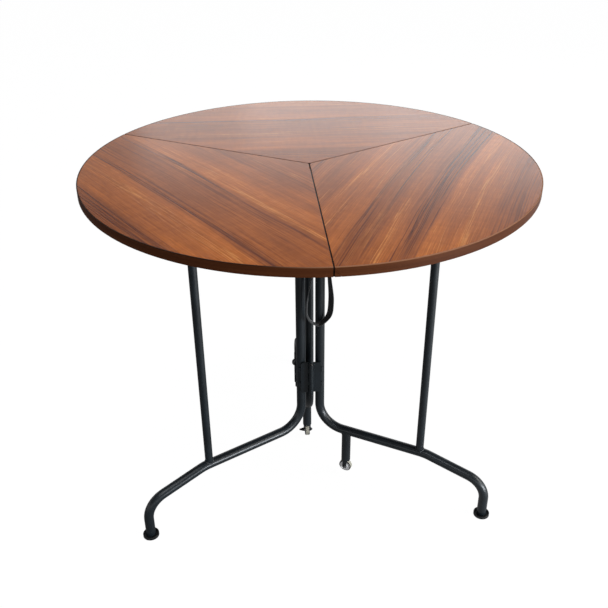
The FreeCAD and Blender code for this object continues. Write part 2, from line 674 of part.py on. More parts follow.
def hinge_plate(side, knuckles):
    """Flat plate welded across the front of a post, with its share of the barrel knuckles.

    The hinge axis stands at HingeReach along +X here. side is +1 for the plate on the +Y post.
    An arm at each knuckle reaches from the plate out to the barrel.
    """
    half_page = math.radians(PAGE_ANGLE / 2)
    post = Vector(math.cos(half_page), side * math.sin(half_page), 0) * size("PostReach")
    rear = post.x + tube_radius
    front = rear + size("HingePlateThickness")
    bottom, height = size("HingeBottom"), size("HingeHeight")
    inner, outer = size("HingePlateInner"), size("HingePlateOuter")
    barrel = size("BarrelDiameter") / 2
    pin = Vector(size("HingeReach"), 0, 0)

    shape = rounded_plate(side, rear, front, bottom, height)
    arm = [(rear, inner), (rear, inner + 2), (front, inner + 2), (pin.x, barrel), (pin.x - barrel, 0)]
    for z, tall in knuckles:
        corners = [Vector(x, side * y, z) for x, y in arm]
        shape = shape.fuse(Part.Face(Part.makePolygon(corners + corners[:1])).extrude(UP * tall))
        shape = shape.fuse(Part.makeCylinder(barrel, tall, pin + UP * z))
    for share in (0.25, 0.75):
        middle = bottom + share * height
        spot = Vector(rear, side * (outer + 0.6 * size("WeldRadius")), middle - size("WeldLength") / 2)
        shape = shape.fuse(Part.makeCylinder(size("WeldRadius"), size("WeldLength"), spot))
    shape = shape.cut(Part.makeCylinder(tube_radius, 2 * height, post + UP * (bottom - height / 2)))
    bore = size("HingePinDiameter") / 2 + size("RunningClearance")
    shape = shape.cut(Part.makeCylinder(bore, 2 * height, pin + UP * (bottom - height / 2)))
    return shape.removeSplitter()


def rounded_plate(side, rear, front, bottom, height):
    """Upright plate with its two outer corners rounded."""
    inner, outer, corner = size("HingePlateInner"), size("HingePlateOuter"), size("HingeCorner")
    top = bottom + height
    points = [(inner, bottom), (outer - corner, bottom), (outer, bottom + corner),
              (outer, top - corner), (outer - corner, top), (inner, top)]
    a, b, c, d, e, f = [Vector(rear, side * y, z) for y, z in points]
    bend = corner * (1 - math.sqrt(0.5))
    low = Vector(rear, side * (outer - bend), bottom + bend)
    high = Vector(rear, side * (outer - bend), top - bend)
    edges = [Part.LineSegment(a, b), Part.Arc(b, low, c), Part.LineSegment(c, d), Part.Arc(d, high, e),
             Part.LineSegment(e, f), Part.LineSegment(f, a)]
    wire = Part.Wire([edge.toShape() for edge in edges])
    return Part.Face(wire).extrude(Vector(front - rear, 0, 0))


def make_hinge(place, azimuth, fixed_side, fixed_page, moving_page):
    """One five-knuckle hinge: the fixed plate has three knuckles, the moving plate two."""
    levels = knuckle_levels()
    fixed = doc.addObject("Part::Feature", "hinge_%s_fixed" % place)
    fixed.Shape = hinge_plate(fixed_side, levels[0::2])
    deliver(fixed, "hinge_plate_%s_on_%s" % (place, fixed_page), azimuth)
    moving = doc.addObject("Part::Feature", "hinge_%s_moving" % place)
    moving.Shape = hinge_plate(-fixed_side, levels[1::2])
    deliver(moving, "hinge_plate_%s_on_%s" % (place, moving_page), azimuth)

    radius = size("HingePinDiameter") / 2
    barrel = size("BarrelDiameter") / 2
    base = Vector(size("HingeReach"), 0, size("HingeBottom"))
    stem = Part.makeCylinder(radius, size("HingeHeight") + size("PinTail"), base - UP * size("PinTail"))
    button = Part.makeCone(barrel, 0.5 * barrel, size("PinHeadHeight"), base + UP * size("HingeHeight"))
    pin = doc.addObject("Part::Feature", "hinge_pin_" + place)
    pin.Shape = stem.fuse(button).removeSplitter()
    deliver(pin, "hinge_pin_" + place, azimuth)


# ---------------------------------------------------------------- strap and buttons
def peg_shape(base, direction, stem_length, head_radius, height):
    """Short pin with a mushroom head."""
    stem = Part.makeCylinder(size("PegDiameter") / 2, stem_length, base, direction)
    dome_radius = (head_radius ** 2 + height ** 2) / (2 * height)
    seat = base + direction * stem_length
    dome = Part.makeSphere(dome_radius, seat - direction * (dome_radius - height))
    slab = Part.makeCylinder(2 * dome_radius, 2 * dome_radius, seat, direction)
    return stem.fuse(dome.common(slab)).removeSplitter()


def post_centre(page):
    azimuth = math.radians(PAGES[page])
    return Vector(size("PostReach") * math.cos(azimuth), size("PostReach") * math.sin(azimuth), 0)


def make_strap():
    """Endless webbing strap that hangs from a peg on the front of the right post."""
    turn = Rotation(UP, size("StrapTurn"))
    forward = turn.multVec(Vector(0, -1, 0))
    post = post_centre("right")
    clearance = size("PivotClearance")
    peg_base = post + UP * peg_height + forward * (tube_radius - size("TubeWall"))
    stem = size("TubeWall") + size("StrapWidth") + 4 * clearance
    peg = doc.addObject("Part::Feature", "strap_peg")
    head = size("PegHeadDiameter") / 2
    post_space = Part.makeCylinder(tube_radius, 2 * head, post + UP * (peg_height - head))
    peg.Shape = peg_shape(peg_base, forward, stem, head, size("PegHeadHeight")).cut(post_space)
    deliver(peg, "strap_peg")

    middle_reach = tube_radius + 2 * clearance + size("StrapWidth") / 2
    strap = doc.addObject("Part::Feature", "strap")
    strap.Shape = strap_band()
    hang = turn.multiply(Rotation(Vector(0, 1, 0), size("StrapLean")))
    strap.Placement = Placement(post + forward * middle_reach + UP * peg_height, hang)
    deliver(strap, "carry_strap")


def strap_band():
    """Hanging loop of webbing: tight over the peg, widest low down, its sides a little twisted.

    The peg's axis runs along Y through the origin here.
    """
    middle = strap_middle()
    belly = size("StrapBelly") / 2
    half_width, half_thickness = size("StrapWidth") / 2, size("StrapThickness") / 2
    count = 220
    span = middle.LastParameter - middle.FirstParameter
    rails = [[], [], [], []]
    for i in range(count):
        parameter = middle.FirstParameter + span * i / count
        along = middle.tangent(parameter)[0]
        centre = middle.value(parameter)
        twist = Rotation(UP, size("StrapTwist") * (centre.x / belly) ** 3)
        wide = twist.multVec(Vector(0, 1, 0))
        thick = along.cross(wide).normalize()
        for rail, (a, b) in zip(rails, ((-1, -1), (1, -1), (1, 1), (-1, 1))):
            rail.append(centre + wide * (a * half_width) + thick * (b * half_thickness))
    edges = []
    for rail in rails:
        curve = Part.BSplineCurve()
        curve.interpolate(rail, PeriodicFlag=True)
        edges.append(curve.toShape())
    same_way = 1
    sides = [Part.makeRuledSurface(edges[i], edges[(i + 1) % 4], same_way) for i in range(4)]
    solid = Part.makeSolid(Part.makeShell(sides))
    if solid.Volume < 0:
        solid.reverse()
    return solid


def strap_middle():
    """Middle line of the hanging strap in the XZ plane."""
    over_peg = size("PegDiameter") / 2 + size("PivotClearance") + size("StrapThickness") / 2
    belly = size("StrapBelly") / 2
    drop, widest = size("StrapDrop"), size("StrapBellyDrop")
    side = [(over_peg + 0.1 * belly, -0.12 * drop), (0.74 * belly, -2 * widest / 3),
            (belly, -widest), (0.84 * belly, -(2 * drop + widest) / 3)]
    points = []
    for degrees in range(0, 181, 30):
        angle = math.radians(degrees)
        points.append(Vector(over_peg * math.cos(angle), 0, over_peg * math.sin(angle)))
    points += [Vector(-half, 0, z) for half, z in side]
    points += [Vector(0, 0, -drop)]
    points += [Vector(half, 0, z) for half, z in reversed(side)]
    middle = Part.BSplineCurve()
    middle.interpolate(points, PeriodicFlag=True)
    return middle


def make_strap_button():
    """Mushroom button on the left post's rear hinge plate, where the strap is hooked."""
    hinge_direction = math.radians(150.0)
    outward = Vector(math.cos(hinge_direction), math.sin(hinge_direction), 0)
    sideways = Vector(-outward.y, outward.x, 0)
    plate_front = (size("PostReach") * math.cos(math.radians(PAGE_ANGLE / 2)) + tube_radius
                   + size("HingePlateThickness"))
    along_plate = size("HingePlateOuter") - size("ButtonDiameter") / 2
    spot = outward * plate_front + sideways * along_plate + UP * size("ButtonHeight")
    button = doc.addObject("Part::Feature", "strap_button")
    button.Shape = peg_shape(spot, outward, size("StrapThickness"), size("ButtonDiameter") / 2,
                             size("ButtonHeadHeight"))
    deliver(button, "strap_button")


# ---------------------------------------------------------------- build
def build():
    for page, azimuth in PAGES.items():
        make_leaf(page, azimuth)
        tube_outside = make_frame(page, azimuth)
        if page != "left":
            make_caster(page, azimuth, tube_outside)
    make_hinge("front", 270.0, -1, "left", "right")
    make_hinge("rear", 150.0, 1, "left", "back")
    make_strap()
    make_strap_button()
    doc.recompute()


def write():
    for obj in doc.Objects:
        if "Invalid" in obj.State or "Error" in obj.State:
            raise RuntimeError("%s failed: %s" % (obj.Label, obj.State))
    os.makedirs("parts", exist_ok=True)
    for obj in PARTS:
        shape = obj.Shape
        if shape.isNull() or not shape.isValid() or not shape.Solids:
            raise RuntimeError("%s has no valid solid" % obj.Label)
        shape.exportStep("parts/%s.step" % obj.Label)
        print("%-32s %d solid(s) %10.1f mm3" % (obj.Label, len(shape.Solids), shape.Volume))


build()
write()
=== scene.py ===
# %% [markdown]
# # A round folding table
# The table is a frame of bent steel tube in three hinged pages. Each page carries one third of a
# round wood-grain top. The metal and wood shapes come from the construction model, so this
# lesson gives them their finishes and adds what a solid model leaves out: the woven strap,
# cross-head screws and weld beads.

# %% Load the construction model
import math

import bmesh
import bpy
from mathutils import Matrix, Vector


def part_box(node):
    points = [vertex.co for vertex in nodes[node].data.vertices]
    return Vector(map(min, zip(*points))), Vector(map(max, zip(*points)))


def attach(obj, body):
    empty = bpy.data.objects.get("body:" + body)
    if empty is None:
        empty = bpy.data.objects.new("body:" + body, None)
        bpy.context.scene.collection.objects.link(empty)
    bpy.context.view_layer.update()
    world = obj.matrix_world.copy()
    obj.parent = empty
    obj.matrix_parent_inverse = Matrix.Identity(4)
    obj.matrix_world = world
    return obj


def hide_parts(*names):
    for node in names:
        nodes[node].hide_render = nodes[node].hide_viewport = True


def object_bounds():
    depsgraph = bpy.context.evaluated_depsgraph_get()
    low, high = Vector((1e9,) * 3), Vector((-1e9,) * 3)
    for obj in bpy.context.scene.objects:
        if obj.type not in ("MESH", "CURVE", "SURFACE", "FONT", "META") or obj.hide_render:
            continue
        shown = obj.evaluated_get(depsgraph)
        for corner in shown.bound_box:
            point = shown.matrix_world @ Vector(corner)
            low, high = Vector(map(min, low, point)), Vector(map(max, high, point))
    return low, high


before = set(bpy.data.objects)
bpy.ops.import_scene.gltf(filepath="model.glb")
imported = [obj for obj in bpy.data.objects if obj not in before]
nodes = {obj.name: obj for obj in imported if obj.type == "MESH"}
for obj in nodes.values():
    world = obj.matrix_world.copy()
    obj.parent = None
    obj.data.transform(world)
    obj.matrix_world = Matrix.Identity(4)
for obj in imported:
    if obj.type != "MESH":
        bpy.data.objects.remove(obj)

cad_box = [list(corner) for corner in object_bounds()]
PAGES = {"back": 90.0, "left": 210.0, "right": 330.0}   # direction of each page, degrees
TOP = cad_box[1][2]
print("construction model:", len(nodes), "nodes, top at", round(TOP * 1000, 1), "mm")

# %% [markdown]
# ## Camera
# A camera can be aimed with a Track To constraint or by hand. Here its three axes are worked
# out from heading, pitch and roll and put straight into its matrix, so the view is exact.

# %% Camera
CAMERA_PLACE = Vector((-0.1157, -1.4082, 1.2394))
YAW, PITCH, ROLL = math.radians(-4.219), math.radians(30.046), math.radians(-0.470)
LENS_MM, SENSOR_MM = 46.674, 36.0
VIEW_DISTANCE = 200   # far enough to see the whole floor

forward = Vector((-math.sin(YAW) * math.cos(PITCH), math.cos(YAW) * math.cos(PITCH), -math.sin(PITCH)))
level_right = Vector((math.cos(YAW), math.sin(YAW), 0))
level_up = level_right.cross(forward)
right = math.cos(ROLL) * level_right + math.sin(ROLL) * level_up
up = math.cos(ROLL) * level_up - math.sin(ROLL) * level_right
camera_data = bpy.data.cameras.new("camera")
camera_data.lens = LENS_MM
camera_data.sensor_width = SENSOR_MM
camera_data.clip_end = VIEW_DISTANCE
camera = bpy.data.objects.new("camera", camera_data)
camera.matrix_world = Matrix.Translation(CAMERA_PLACE) @ Matrix((right, up, -forward)).transposed().to_4x4()
bpy.context.scene.collection.objects.link(camera)
bpy.context.scene.camera = camera
print("camera looks down", round(math.degrees(PITCH), 1), "degrees")

# %% [markdown]
# ## Colours and nodes
# Colours are written as the hex numbers that a paint program shows. Shaders add and multiply
# light, so they need linear values, and one function turns the one into the other. Another
# function adds a node of any kind with its settings and wires. It takes a whole node where its
# first output is meant, which keeps every material short to read.

# %% Colour and node helpers
WHITE = (1, 1, 1, 1)
SMOOTH = {"interpolation_type": "SMOOTHSTEP"}   # a Map Range with soft ends


def linear(hex_colour):
    """sRGB hex text to a linear colour with alpha."""
    channels = [int(hex_colour[i:i + 2], 16) / 255 for i in (1, 3, 5)]
    return tuple(c / 12.92 if c <= 0.04045 else ((c + 0.055) / 1.055) ** 2.4 for c in channels) + (1.0,)


def set_inputs(tree, node, inputs):
    """Give inputs by name or number. Nodes and sockets are wired, one or a list; the rest is set."""
    for key, given in inputs.items():
        for value in given if isinstance(given, list) else [given]:
            if isinstance(value, bpy.types.Node):
                value = value.outputs[0]
            if isinstance(value, bpy.types.NodeSocket):
                tree.links.new(value, node.inputs[key])
            else:
                node.inputs[key].default_value = value


def add_node(tree, kind, inputs=None, **settings):
    """Add a node of a kind with its settings and its inputs."""
    node = tree.nodes.new(kind)
    for name, value in settings.items():
        setattr(node, name, value)
    set_inputs(tree, node, inputs or {})
    return node


def set_stops(node, stops):
    """Positions and colours of a Color Ramp's stops."""
    elements = node.color_ramp.elements
    while len(elements) < len(stops):
        elements.new(0.5)
    for element, (position, colour) in zip(elements, stops):
        element.position = position
        element.color = colour if isinstance(colour, tuple) else linear(colour)


def new_material(name):
    """An empty node material with its output, and the shader that feeds it."""
    material = bpy.data.materials.new(name)
    material.use_nodes = True
    tree = material.node_tree
    tree.nodes.clear()
    shader = add_node(tree, "ShaderNodeBsdfPrincipled")
    add_node(tree, "ShaderNodeOutputMaterial", {"Surface": shader})
    return material, tree, shader


print("mid grey in linear light:", round(linear("#808080")[0], 3))

# %% [markdown]
# ## Light, world and floor
# The table stands on seamless white, and the camera sees plain white all round. White in every
# mirror image too would be simpler, but it turns the wood and the tubes milky. So what shines
# mirrors a graded backdrop: the world is white near the horizon and dim higher up, and the
# floor glows on the right and is dark on the left. The lamps light the top at a plain level, at
# which a colour comes out about as it is written. One hangs above, two stand on the right and a
# small one in front, and three wide, weak ones behind are the windows that give the sheen.

# %% World
CEILING_STARTS, CEILING_FULL = math.sin(math.radians(11)), math.sin(math.radians(23))
CEILING_SHARE = 0.08   # of white, mirrored from above the ceiling's full height
SKY_COLOUR, SKY_STRENGTH = "#F4F6FF", 0.36


def ray_shares(tree):
    """Two switches: on for what the camera sees, also through glass, and on for that and mirror images."""
    ray = add_node(tree, "ShaderNodeLightPath").outputs
    seen = add_node(tree, "ShaderNodeMath", {0: ray["Is Camera Ray"], 1: ray["Is Transmission Ray"]},
                    operation="MAXIMUM")
    shown = add_node(tree, "ShaderNodeMath", {0: seen, 1: ray["Is Glossy Ray"]}, operation="MAXIMUM")
    return seen, shown


world = bpy.data.worlds.new("studio")
bpy.context.scene.world = world
world.use_nodes = True
sky = world.node_tree
sky.nodes.clear()
seen, shown = ray_shares(sky)
direction = add_node(sky, "ShaderNodeTexCoord").outputs["Generated"]
height = add_node(sky, "ShaderNodeSeparateXYZ", {0: direction}).outputs["Z"]
mirrored = add_node(sky, "ShaderNodeMapRange", {
    0: height, 1: CEILING_STARTS, 2: CEILING_FULL, 3: 1.0, 4: CEILING_SHARE}, **SMOOTH)
strength = add_node(sky, "ShaderNodeMath", {0: mirrored, 1: seen}, operation="MAXIMUM")
light = add_node(sky, "ShaderNodeBackground", {"Color": linear(SKY_COLOUR), "Strength": SKY_STRENGTH})
backdrop = add_node(sky, "ShaderNodeBackground", {"Color": WHITE, "Strength": strength})
pick = add_node(sky, "ShaderNodeMixShader", {0: shown, 1: light, 2: backdrop})
add_node(sky, "ShaderNodeOutputWorld", {"Surface": pick})
bpy.context.scene.view_settings.view_transform = "Standard"
print("sky light:", SKY_STRENGTH)


# %% Lamps
def soft_lamp(name, place, aim, width, tall, watts, colour):
    """Rectangular area lamp that faces a point."""
    data = bpy.data.lights.new(name, "AREA")
    data.shape = "RECTANGLE"
    data.size = width
    data.size_y = tall
    data.energy = watts
    data.color = linear(colour)[:3]
    lamp = bpy.data.objects.new(name, data)
    turn = (Vector(aim) - Vector(place)).to_track_quat("-Z", "Y")
    lamp.matrix_world = Matrix.Translation(place) @ turn.to_matrix().to_4x4()
    bpy.context.scene.collection.objects.link(lamp)


soft_lamp("key_right", (2.8, -0.8, 2.0), (0, 0, 0.5), 1.4, 1.4, 42, "#FFFAF2")
soft_lamp("low_right", (2.5, -1.9, 0.30), (0, 0, 0.4), 1.8, 0.5, 90, "#F2F8FF")
soft_lamp("front_glint", (-0.2, -1.7, 2.4), (0, 0, 0.3), 0.6, 0.6, 8, "#F2F8FF")
soft_lamp("window_behind", (1.1, 4.1, 1.95), (0.1, 0.1, 0.7), 4.2, 0.8, 11.5, "#F4FBFF")
soft_lamp("window_corner", (2.1, 3.9, 1.95), (0.2, 0.1, 0.7), 2.6, 0.9, 5, "#F4FBFF")
soft_lamp("window_glow", (0.36, 4.0, 1.74), (0.1, 0.3, 0.7), 1.0, 0.32, 0.9, "#F8FBFF")
soft_lamp("top_soft", (-0.3, -0.6, 3.0), (0, 0, 0.7), 1.6, 1.6, 22, "#FFFFFF")

# %% Floor
PAPER_COLOUR, PAPER_ROUGHNESS = "#8C8C8C", 0.9
GLOW_SHARE, SEEN_GLOW = 0.86, 1.14    # what is left of the share is lit paper, which keeps the shadow
GLOW_LEFT, GLOW_RIGHT = 0.12, 0.9     # of white, as the table mirrors it
GLOW_STARTS, GLOW_FULL = -0.5, 1.6    # where the mirrored glow rises, metres to the right
FLOOR_RADIUS, FLOOR_DROP = 40, 0.0004

# Matt paper with no shine of its own: the eye sees plain white and a faint shadow.
paper, tree, shader = new_material("seamless white paper")
set_inputs(tree, shader, {"Base Color": linear(PAPER_COLOUR), "Roughness": PAPER_ROUGHNESS})
seen, shown = ray_shares(tree)
share = add_node(tree, "ShaderNodeMath", {0: shown, 1: GLOW_SHARE}, operation="MULTIPLY")
place = add_node(tree, "ShaderNodeNewGeometry").outputs["Position"]
across = add_node(tree, "ShaderNodeSeparateXYZ", {0: place}).outputs["X"]
mirrored = add_node(tree, "ShaderNodeMapRange", {
    0: across, 1: GLOW_STARTS, 2: GLOW_FULL, 3: GLOW_LEFT, 4: GLOW_RIGHT}, **SMOOTH)
strength = add_node(tree, "ShaderNodeMix", {0: seen, 2: mirrored, 3: SEEN_GLOW}, data_type="FLOAT")
glow = add_node(tree, "ShaderNodeEmission", {"Color": WHITE, "Strength": strength})
blend = add_node(tree, "ShaderNodeMixShader", {0: share, 1: shader, 2: glow})
set_inputs(tree, tree.nodes["Material Output"], {"Surface": blend})

floor_mesh = bpy.data.meshes.new("floor")
build = bmesh.new()
bmesh.ops.create_circle(build, cap_ends=True, segments=64, radius=FLOOR_RADIUS)
bmesh.ops.translate(build, verts=build.verts, vec=(0, 0, -FLOOR_DROP))
build.to_mesh(floor_mesh)
build.free()
floor_mesh.materials.append(paper)
floor = bpy.data.objects.new("floor", floor_mesh)
bpy.context.scene.collection.objects.link(floor)
print("floor radius:", FLOOR_RADIUS, "m")

# %% [markdown]
# ## Wood-grain laminate
# The top is melamine laminate: printed walnut paper pressed on chipboard, satin to the touch.
# A picture of wood would repeat and needs UV maps. Noise that is stretched along the grain needs
# neither. Each leaf has its own grain direction, square to the middle line of the leaf, so the
# pattern is turned by a Mapping node. Broad bands, clouds, fine grain and pores add up to one
# tone, which a Color Ramp turns into wood. Dark growth lines and a few bright streaks lie on it.

# %% Wood colours and the figure of each leaf
GRAIN = {"line": "#5A2A17", "dark": "#733C1A", "brown": "#914E22", "gold": "#B76629",
         "light": "#E69547", "streak": "#FFB764"}
LEAF_REACH = 0.425
# Where the broad bands of a leaf run: millimetres out from its tip, and how light the wood is.
FIGURES = {
    "back": [(0, 0.46), (82, 0.44), (92, 0.56), (150, 0.52), (270, 0.50), (280, 0.46), (290, 0.62),
             (340, 0.56)],
    "left": [(0, 0.46), (90, 0.48), (115, 0.58), (182, 0.60), (192, 0.43), (215, 0.50), (280, 0.49),
             (294, 0.37), (306, 0.56), (372, 0.58), (388, 0.36)],
    "right": [(0, 0.46), (85, 0.48), (105, 0.60), (158, 0.58), (172, 0.42), (198, 0.44), (212, 0.57),
              (236, 0.54), (250, 0.43), (274, 0.34), (288, 0.64), (345, 0.60), (368, 0.48)],
}
# How the grain runs over a leaf: its slope, and its bow in 1/m.
GRAIN_RUN = {"back": (0.0, 0.02), "left": (0.05, 0.04), "right": (0.06, 0.09)}
SWAY = 0.008   # how far a band wanders to either side
print("figure bands:", {page: len(figure) for page, figure in FIGURES.items()})


# %% Noise along the grain
def stretched_noise(tree, place, size_mm, detail, roughness):
    """Noise with features of the given size along each axis. Its value stays near 0.5."""
    scale = tuple(1000 / size for size in size_mm)
    stretched = add_node(tree, "ShaderNodeVectorMath", {0: place, 1: scale}, operation="MULTIPLY")
    return add_node(tree, "ShaderNodeTexNoise", {
        "Vector": stretched, "Scale": 1.0, "Detail": detail, "Roughness": roughness}).outputs["Fac"]


def grain_noise(tree, grain, length_mm, width_mm, layer, detail, roughness):
    """Noise drawn out along the grain. Each layer number gives another pattern."""
    return stretched_noise(tree, grain, (length_mm, width_mm, 1000 / layer), detail, roughness)


def thin_lines(tree, value, width):
    """1 along the level lines of a noise, falling to 0 beside them."""
    offset = add_node(tree, "ShaderNodeMath", {0: value, 1: 0.5}, operation="SUBTRACT")
    away = add_node(tree, "ShaderNodeMath", {0: offset}, operation="ABSOLUTE")
    return add_node(tree, "ShaderNodeMapRange", {0: away, 1: 0.0, 2: width, 3: 1.0, 4: 0.0}, **SMOOTH)


def grain_coordinates(tree, place, page, seed):
    """Distance across the grain, and coordinates along and across it with the leaf's seed as height."""
    turned = add_node(tree, "ShaderNodeMapping", {
        "Vector": place, "Rotation": (0, 0, math.radians(90 - PAGES[page]))})
    axes = add_node(tree, "ShaderNodeSeparateXYZ", {0: turned}).outputs
    along = axes["X"]
    straight = add_node(tree, "ShaderNodeCombineXYZ", {0: along, 1: axes["Y"], 2: seed})
    sway = grain_noise(tree, straight, 416.7, 166.7, 1, 2.0, 0.5)
    slope, bow = GRAIN_RUN[page]
    climb = add_node(tree, "ShaderNodeMath", {0: along, 1: bow, 2: slope}, operation="MULTIPLY_ADD")
    run = add_node(tree, "ShaderNodeMath", {0: along, 1: climb}, operation="MULTIPLY")
    level_line = add_node(tree, "ShaderNodeMath", {0: axes["Y"], 1: run}, operation="SUBTRACT")
    wander = add_node(tree, "ShaderNodeMath", {0: sway, 1: 2 * SWAY, 2: -SWAY}, operation="MULTIPLY_ADD")
    across = add_node(tree, "ShaderNodeMath", {0: level_line, 1: wander}, operation="ADD")
    return across, add_node(tree, "ShaderNodeCombineXYZ", {0: along, 1: across, 2: seed})


# %% Wood pattern
# Layers of the print: length and width of a feature in mm, detail, roughness and weight. Real
# pores are about 0.2 mm wide, and are drawn as wide as they need to be to show.
PRINT_LAYERS = {
    "bands": (833.3, 29.41, 3.0, 0.55, 0.42),
    "clouds": (200, 90.91, 2.0, 0.5, 0.42),
    "fine grain": (142.9, 2.381, 3.0, 0.6, 0.60),
    "pores": (22.22, 0.9091, 2.0, 0.6, 0.45),
    "chatter": (8.333, 45.45, 2.0, 0.5, 0.16),
}
TONE_SHIFT = -0.05
LINE_SPREAD, STREAK_SPREAD = 0.045, 0.022   # half width of a line, in noise values


def printed_tone(tree, across, grain, page):
    """How light the wood is: the leaf's figure alone, all layers together, and the pores."""
    reach = add_node(tree, "ShaderNodeMath", {0: across, 1: LEAF_REACH}, operation="DIVIDE")
    figure = add_node(tree, "ShaderNodeValToRGB", {0: reach})
    set_stops(figure, [(mm / 1000 / LEAF_REACH, (tone, tone, tone, 1.0)) for mm, tone in FIGURES[page]])
    tone = figure
    patterns = {}
    for layer, (length_mm, width_mm, detail, roughness, weight) in PRINT_LAYERS.items():
        patterns[layer] = grain_noise(tree, grain, length_mm, width_mm, 1, detail, roughness)
        swing = add_node(tree, "ShaderNodeMath", {0: patterns[layer], 1: weight, 2: -weight / 2},
                         operation="MULTIPLY_ADD")
        tone = add_node(tree, "ShaderNodeMath", {0: tone, 1: swing}, operation="ADD")
    tone = add_node(tree, "ShaderNodeMath", {0: tone, 1: TONE_SHIFT}, operation="ADD")
    return figure, tone, patterns["pores"]


def dark_lines(tree, figure, grain):
    """Share of the growth lines: they stand in groups, crowded where the figure is dark."""
    lines = thin_lines(tree, grain_noise(tree, grain, 1250, 10.526, 1, 3.0, 0.6), LINE_SPREAD)
    patches = grain_noise(tree, grain, 625, 55.56, 2, 2.0, 0.5)
    groups = add_node(tree, "ShaderNodeMapRange", {0: patches, 1: 0.40, 2: 0.54, 3: 0.15, 4: 1.0}, **SMOOTH)
    crowd = add_node(tree, "ShaderNodeMapRange", {0: figure, 1: 0.57, 2: 0.42, 3: 0.12, 4: 1.0}, **SMOOTH)
    grouped = add_node(tree, "ShaderNodeMath", {0: groups, 1: crowd}, operation="MULTIPLY")
    return add_node(tree, "ShaderNodeMath", {0: lines, 1: grouped}, operation="MULTIPLY")


def bright_streaks(tree, tone, grain):
    """Share of the sapwood streaks: few, and stronger where the wood is light."""
    streaks = thin_lines(tree, grain_noise(tree, grain, 1000, 21.74, 5, 3.0, 0.6), STREAK_SPREAD)
    patches = grain_noise(tree, grain, 714.3, 71.43, 7, 2.0, 0.5)
    few = add_node(tree, "ShaderNodeMapRange", {0: patches, 1: 0.50, 2: 0.60}, **SMOOTH)
    bright = add_node(tree, "ShaderNodeMapRange", {0: tone, 1: 0.40, 2: 0.62, 3: 0.05, 4: 0.30}, **SMOOTH)
    chosen = add_node(tree, "ShaderNodeMath", {0: few, 1: bright}, operation="MULTIPLY")
    return add_node(tree, "ShaderNodeMath", {0: streaks, 1: chosen}, operation="MULTIPLY")


def wood_pattern(tree, place, page, seed):
    """Colour of the printed wood, and its pores."""
    across, grain = grain_coordinates(tree, place, page, seed)
    figure, tone, pores = printed_tone(tree, across, grain, page)
    wood = add_node(tree, "ShaderNodeValToRGB", {0: tone})
    set_stops(wood, [(0.05, GRAIN["dark"]), (0.38, GRAIN["brown"]), (0.66, GRAIN["gold"]),
                     (0.95, GRAIN["light"])])
    lined = add_node(tree, "ShaderNodeMix", {
        0: dark_lines(tree, figure, grain), 6: wood, 7: linear(GRAIN["line"])}, data_type="RGBA")
    streaked = add_node(tree, "ShaderNodeMix", {
        0: bright_streaks(tree, tone, grain), 6: lined.outputs[2], 7: linear(GRAIN["streak"])},
        data_type="RGBA")
    return streaked.outputs[2], pores


print("print layers:", list(PRINT_LAYERS))

# %% Laminate: printed face, dark seams and backing
LAMINATE_DEPTH = 0.0006   # the printed face, below which the chipboard shows at the seams
CHIP_MM = 2.381
CHIP_DARK, CHIP_LIGHT, BACKING = "#24150E", "#3A241A", "#2E1E16"
BACKING_SHARE = 0.72
GLOSSY_ROUGHNESS, PORE_ROUGHNESS = 0.19, 0.25
PORE_DEPTH = 0.0002


def laminate_material(page, seed):
    """Satin grain on the top face, a darker backing sheet below and dark chipboard in the seams."""
    material, tree, shader = new_material("walnut melamine laminate " + page)
    place = add_node(tree, "ShaderNodeTexCoord").outputs["Object"]
    wood, pores = wood_pattern(tree, place, page, seed)
    height = add_node(tree, "ShaderNodeSeparateXYZ", {0: place}).outputs["Z"]
    face = add_node(tree, "ShaderNodeMath", {0: height, 1: TOP - LAMINATE_DEPTH}, operation="GREATER_THAN")
    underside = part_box("leaf_board_" + page)[0].z
    back = add_node(tree, "ShaderNodeMath", {0: height, 1: underside + LAMINATE_DEPTH}, operation="LESS_THAN")
    chips = stretched_noise(tree, place, (CHIP_MM,) * 3, 2.0, 0.5)
    patches = add_node(tree, "ShaderNodeMapRange", {0: chips, 1: 0.4, 2: 0.6}, **SMOOTH)
    board = add_node(tree, "ShaderNodeMix", {0: patches, 6: linear(CHIP_DARK), 7: linear(CHIP_LIGHT)},
                     data_type="RGBA").outputs[2]
    sheet = add_node(tree, "ShaderNodeMix", {0: BACKING_SHARE, 6: wood, 7: linear(BACKING)},
                     data_type="RGBA").outputs[2]
    below = add_node(tree, "ShaderNodeMix", {0: back, 6: board, 7: sheet}, data_type="RGBA").outputs[2]
    colour = add_node(tree, "ShaderNodeMix", {0: face, 6: below, 7: wood}, data_type="RGBA").outputs[2]
    gloss = add_node(tree, "ShaderNodeMapRange", {
        0: pores, 1: 0.3, 2: 0.7, 3: GLOSSY_ROUGHNESS, 4: PORE_ROUGHNESS}, **SMOOTH)
    relief = add_node(tree, "ShaderNodeBump", {"Strength": 0.26, "Distance": PORE_DEPTH, "Height": pores})
    set_inputs(tree, shader, {"Base Color": colour, "Roughness": gloss, "Normal": relief})
    return material


laminates = {"back": laminate_material("back", 3.1), "left": laminate_material("left", 18.7),
             "right": laminate_material("right", 34.2)}
print("laminates:", len(laminates))
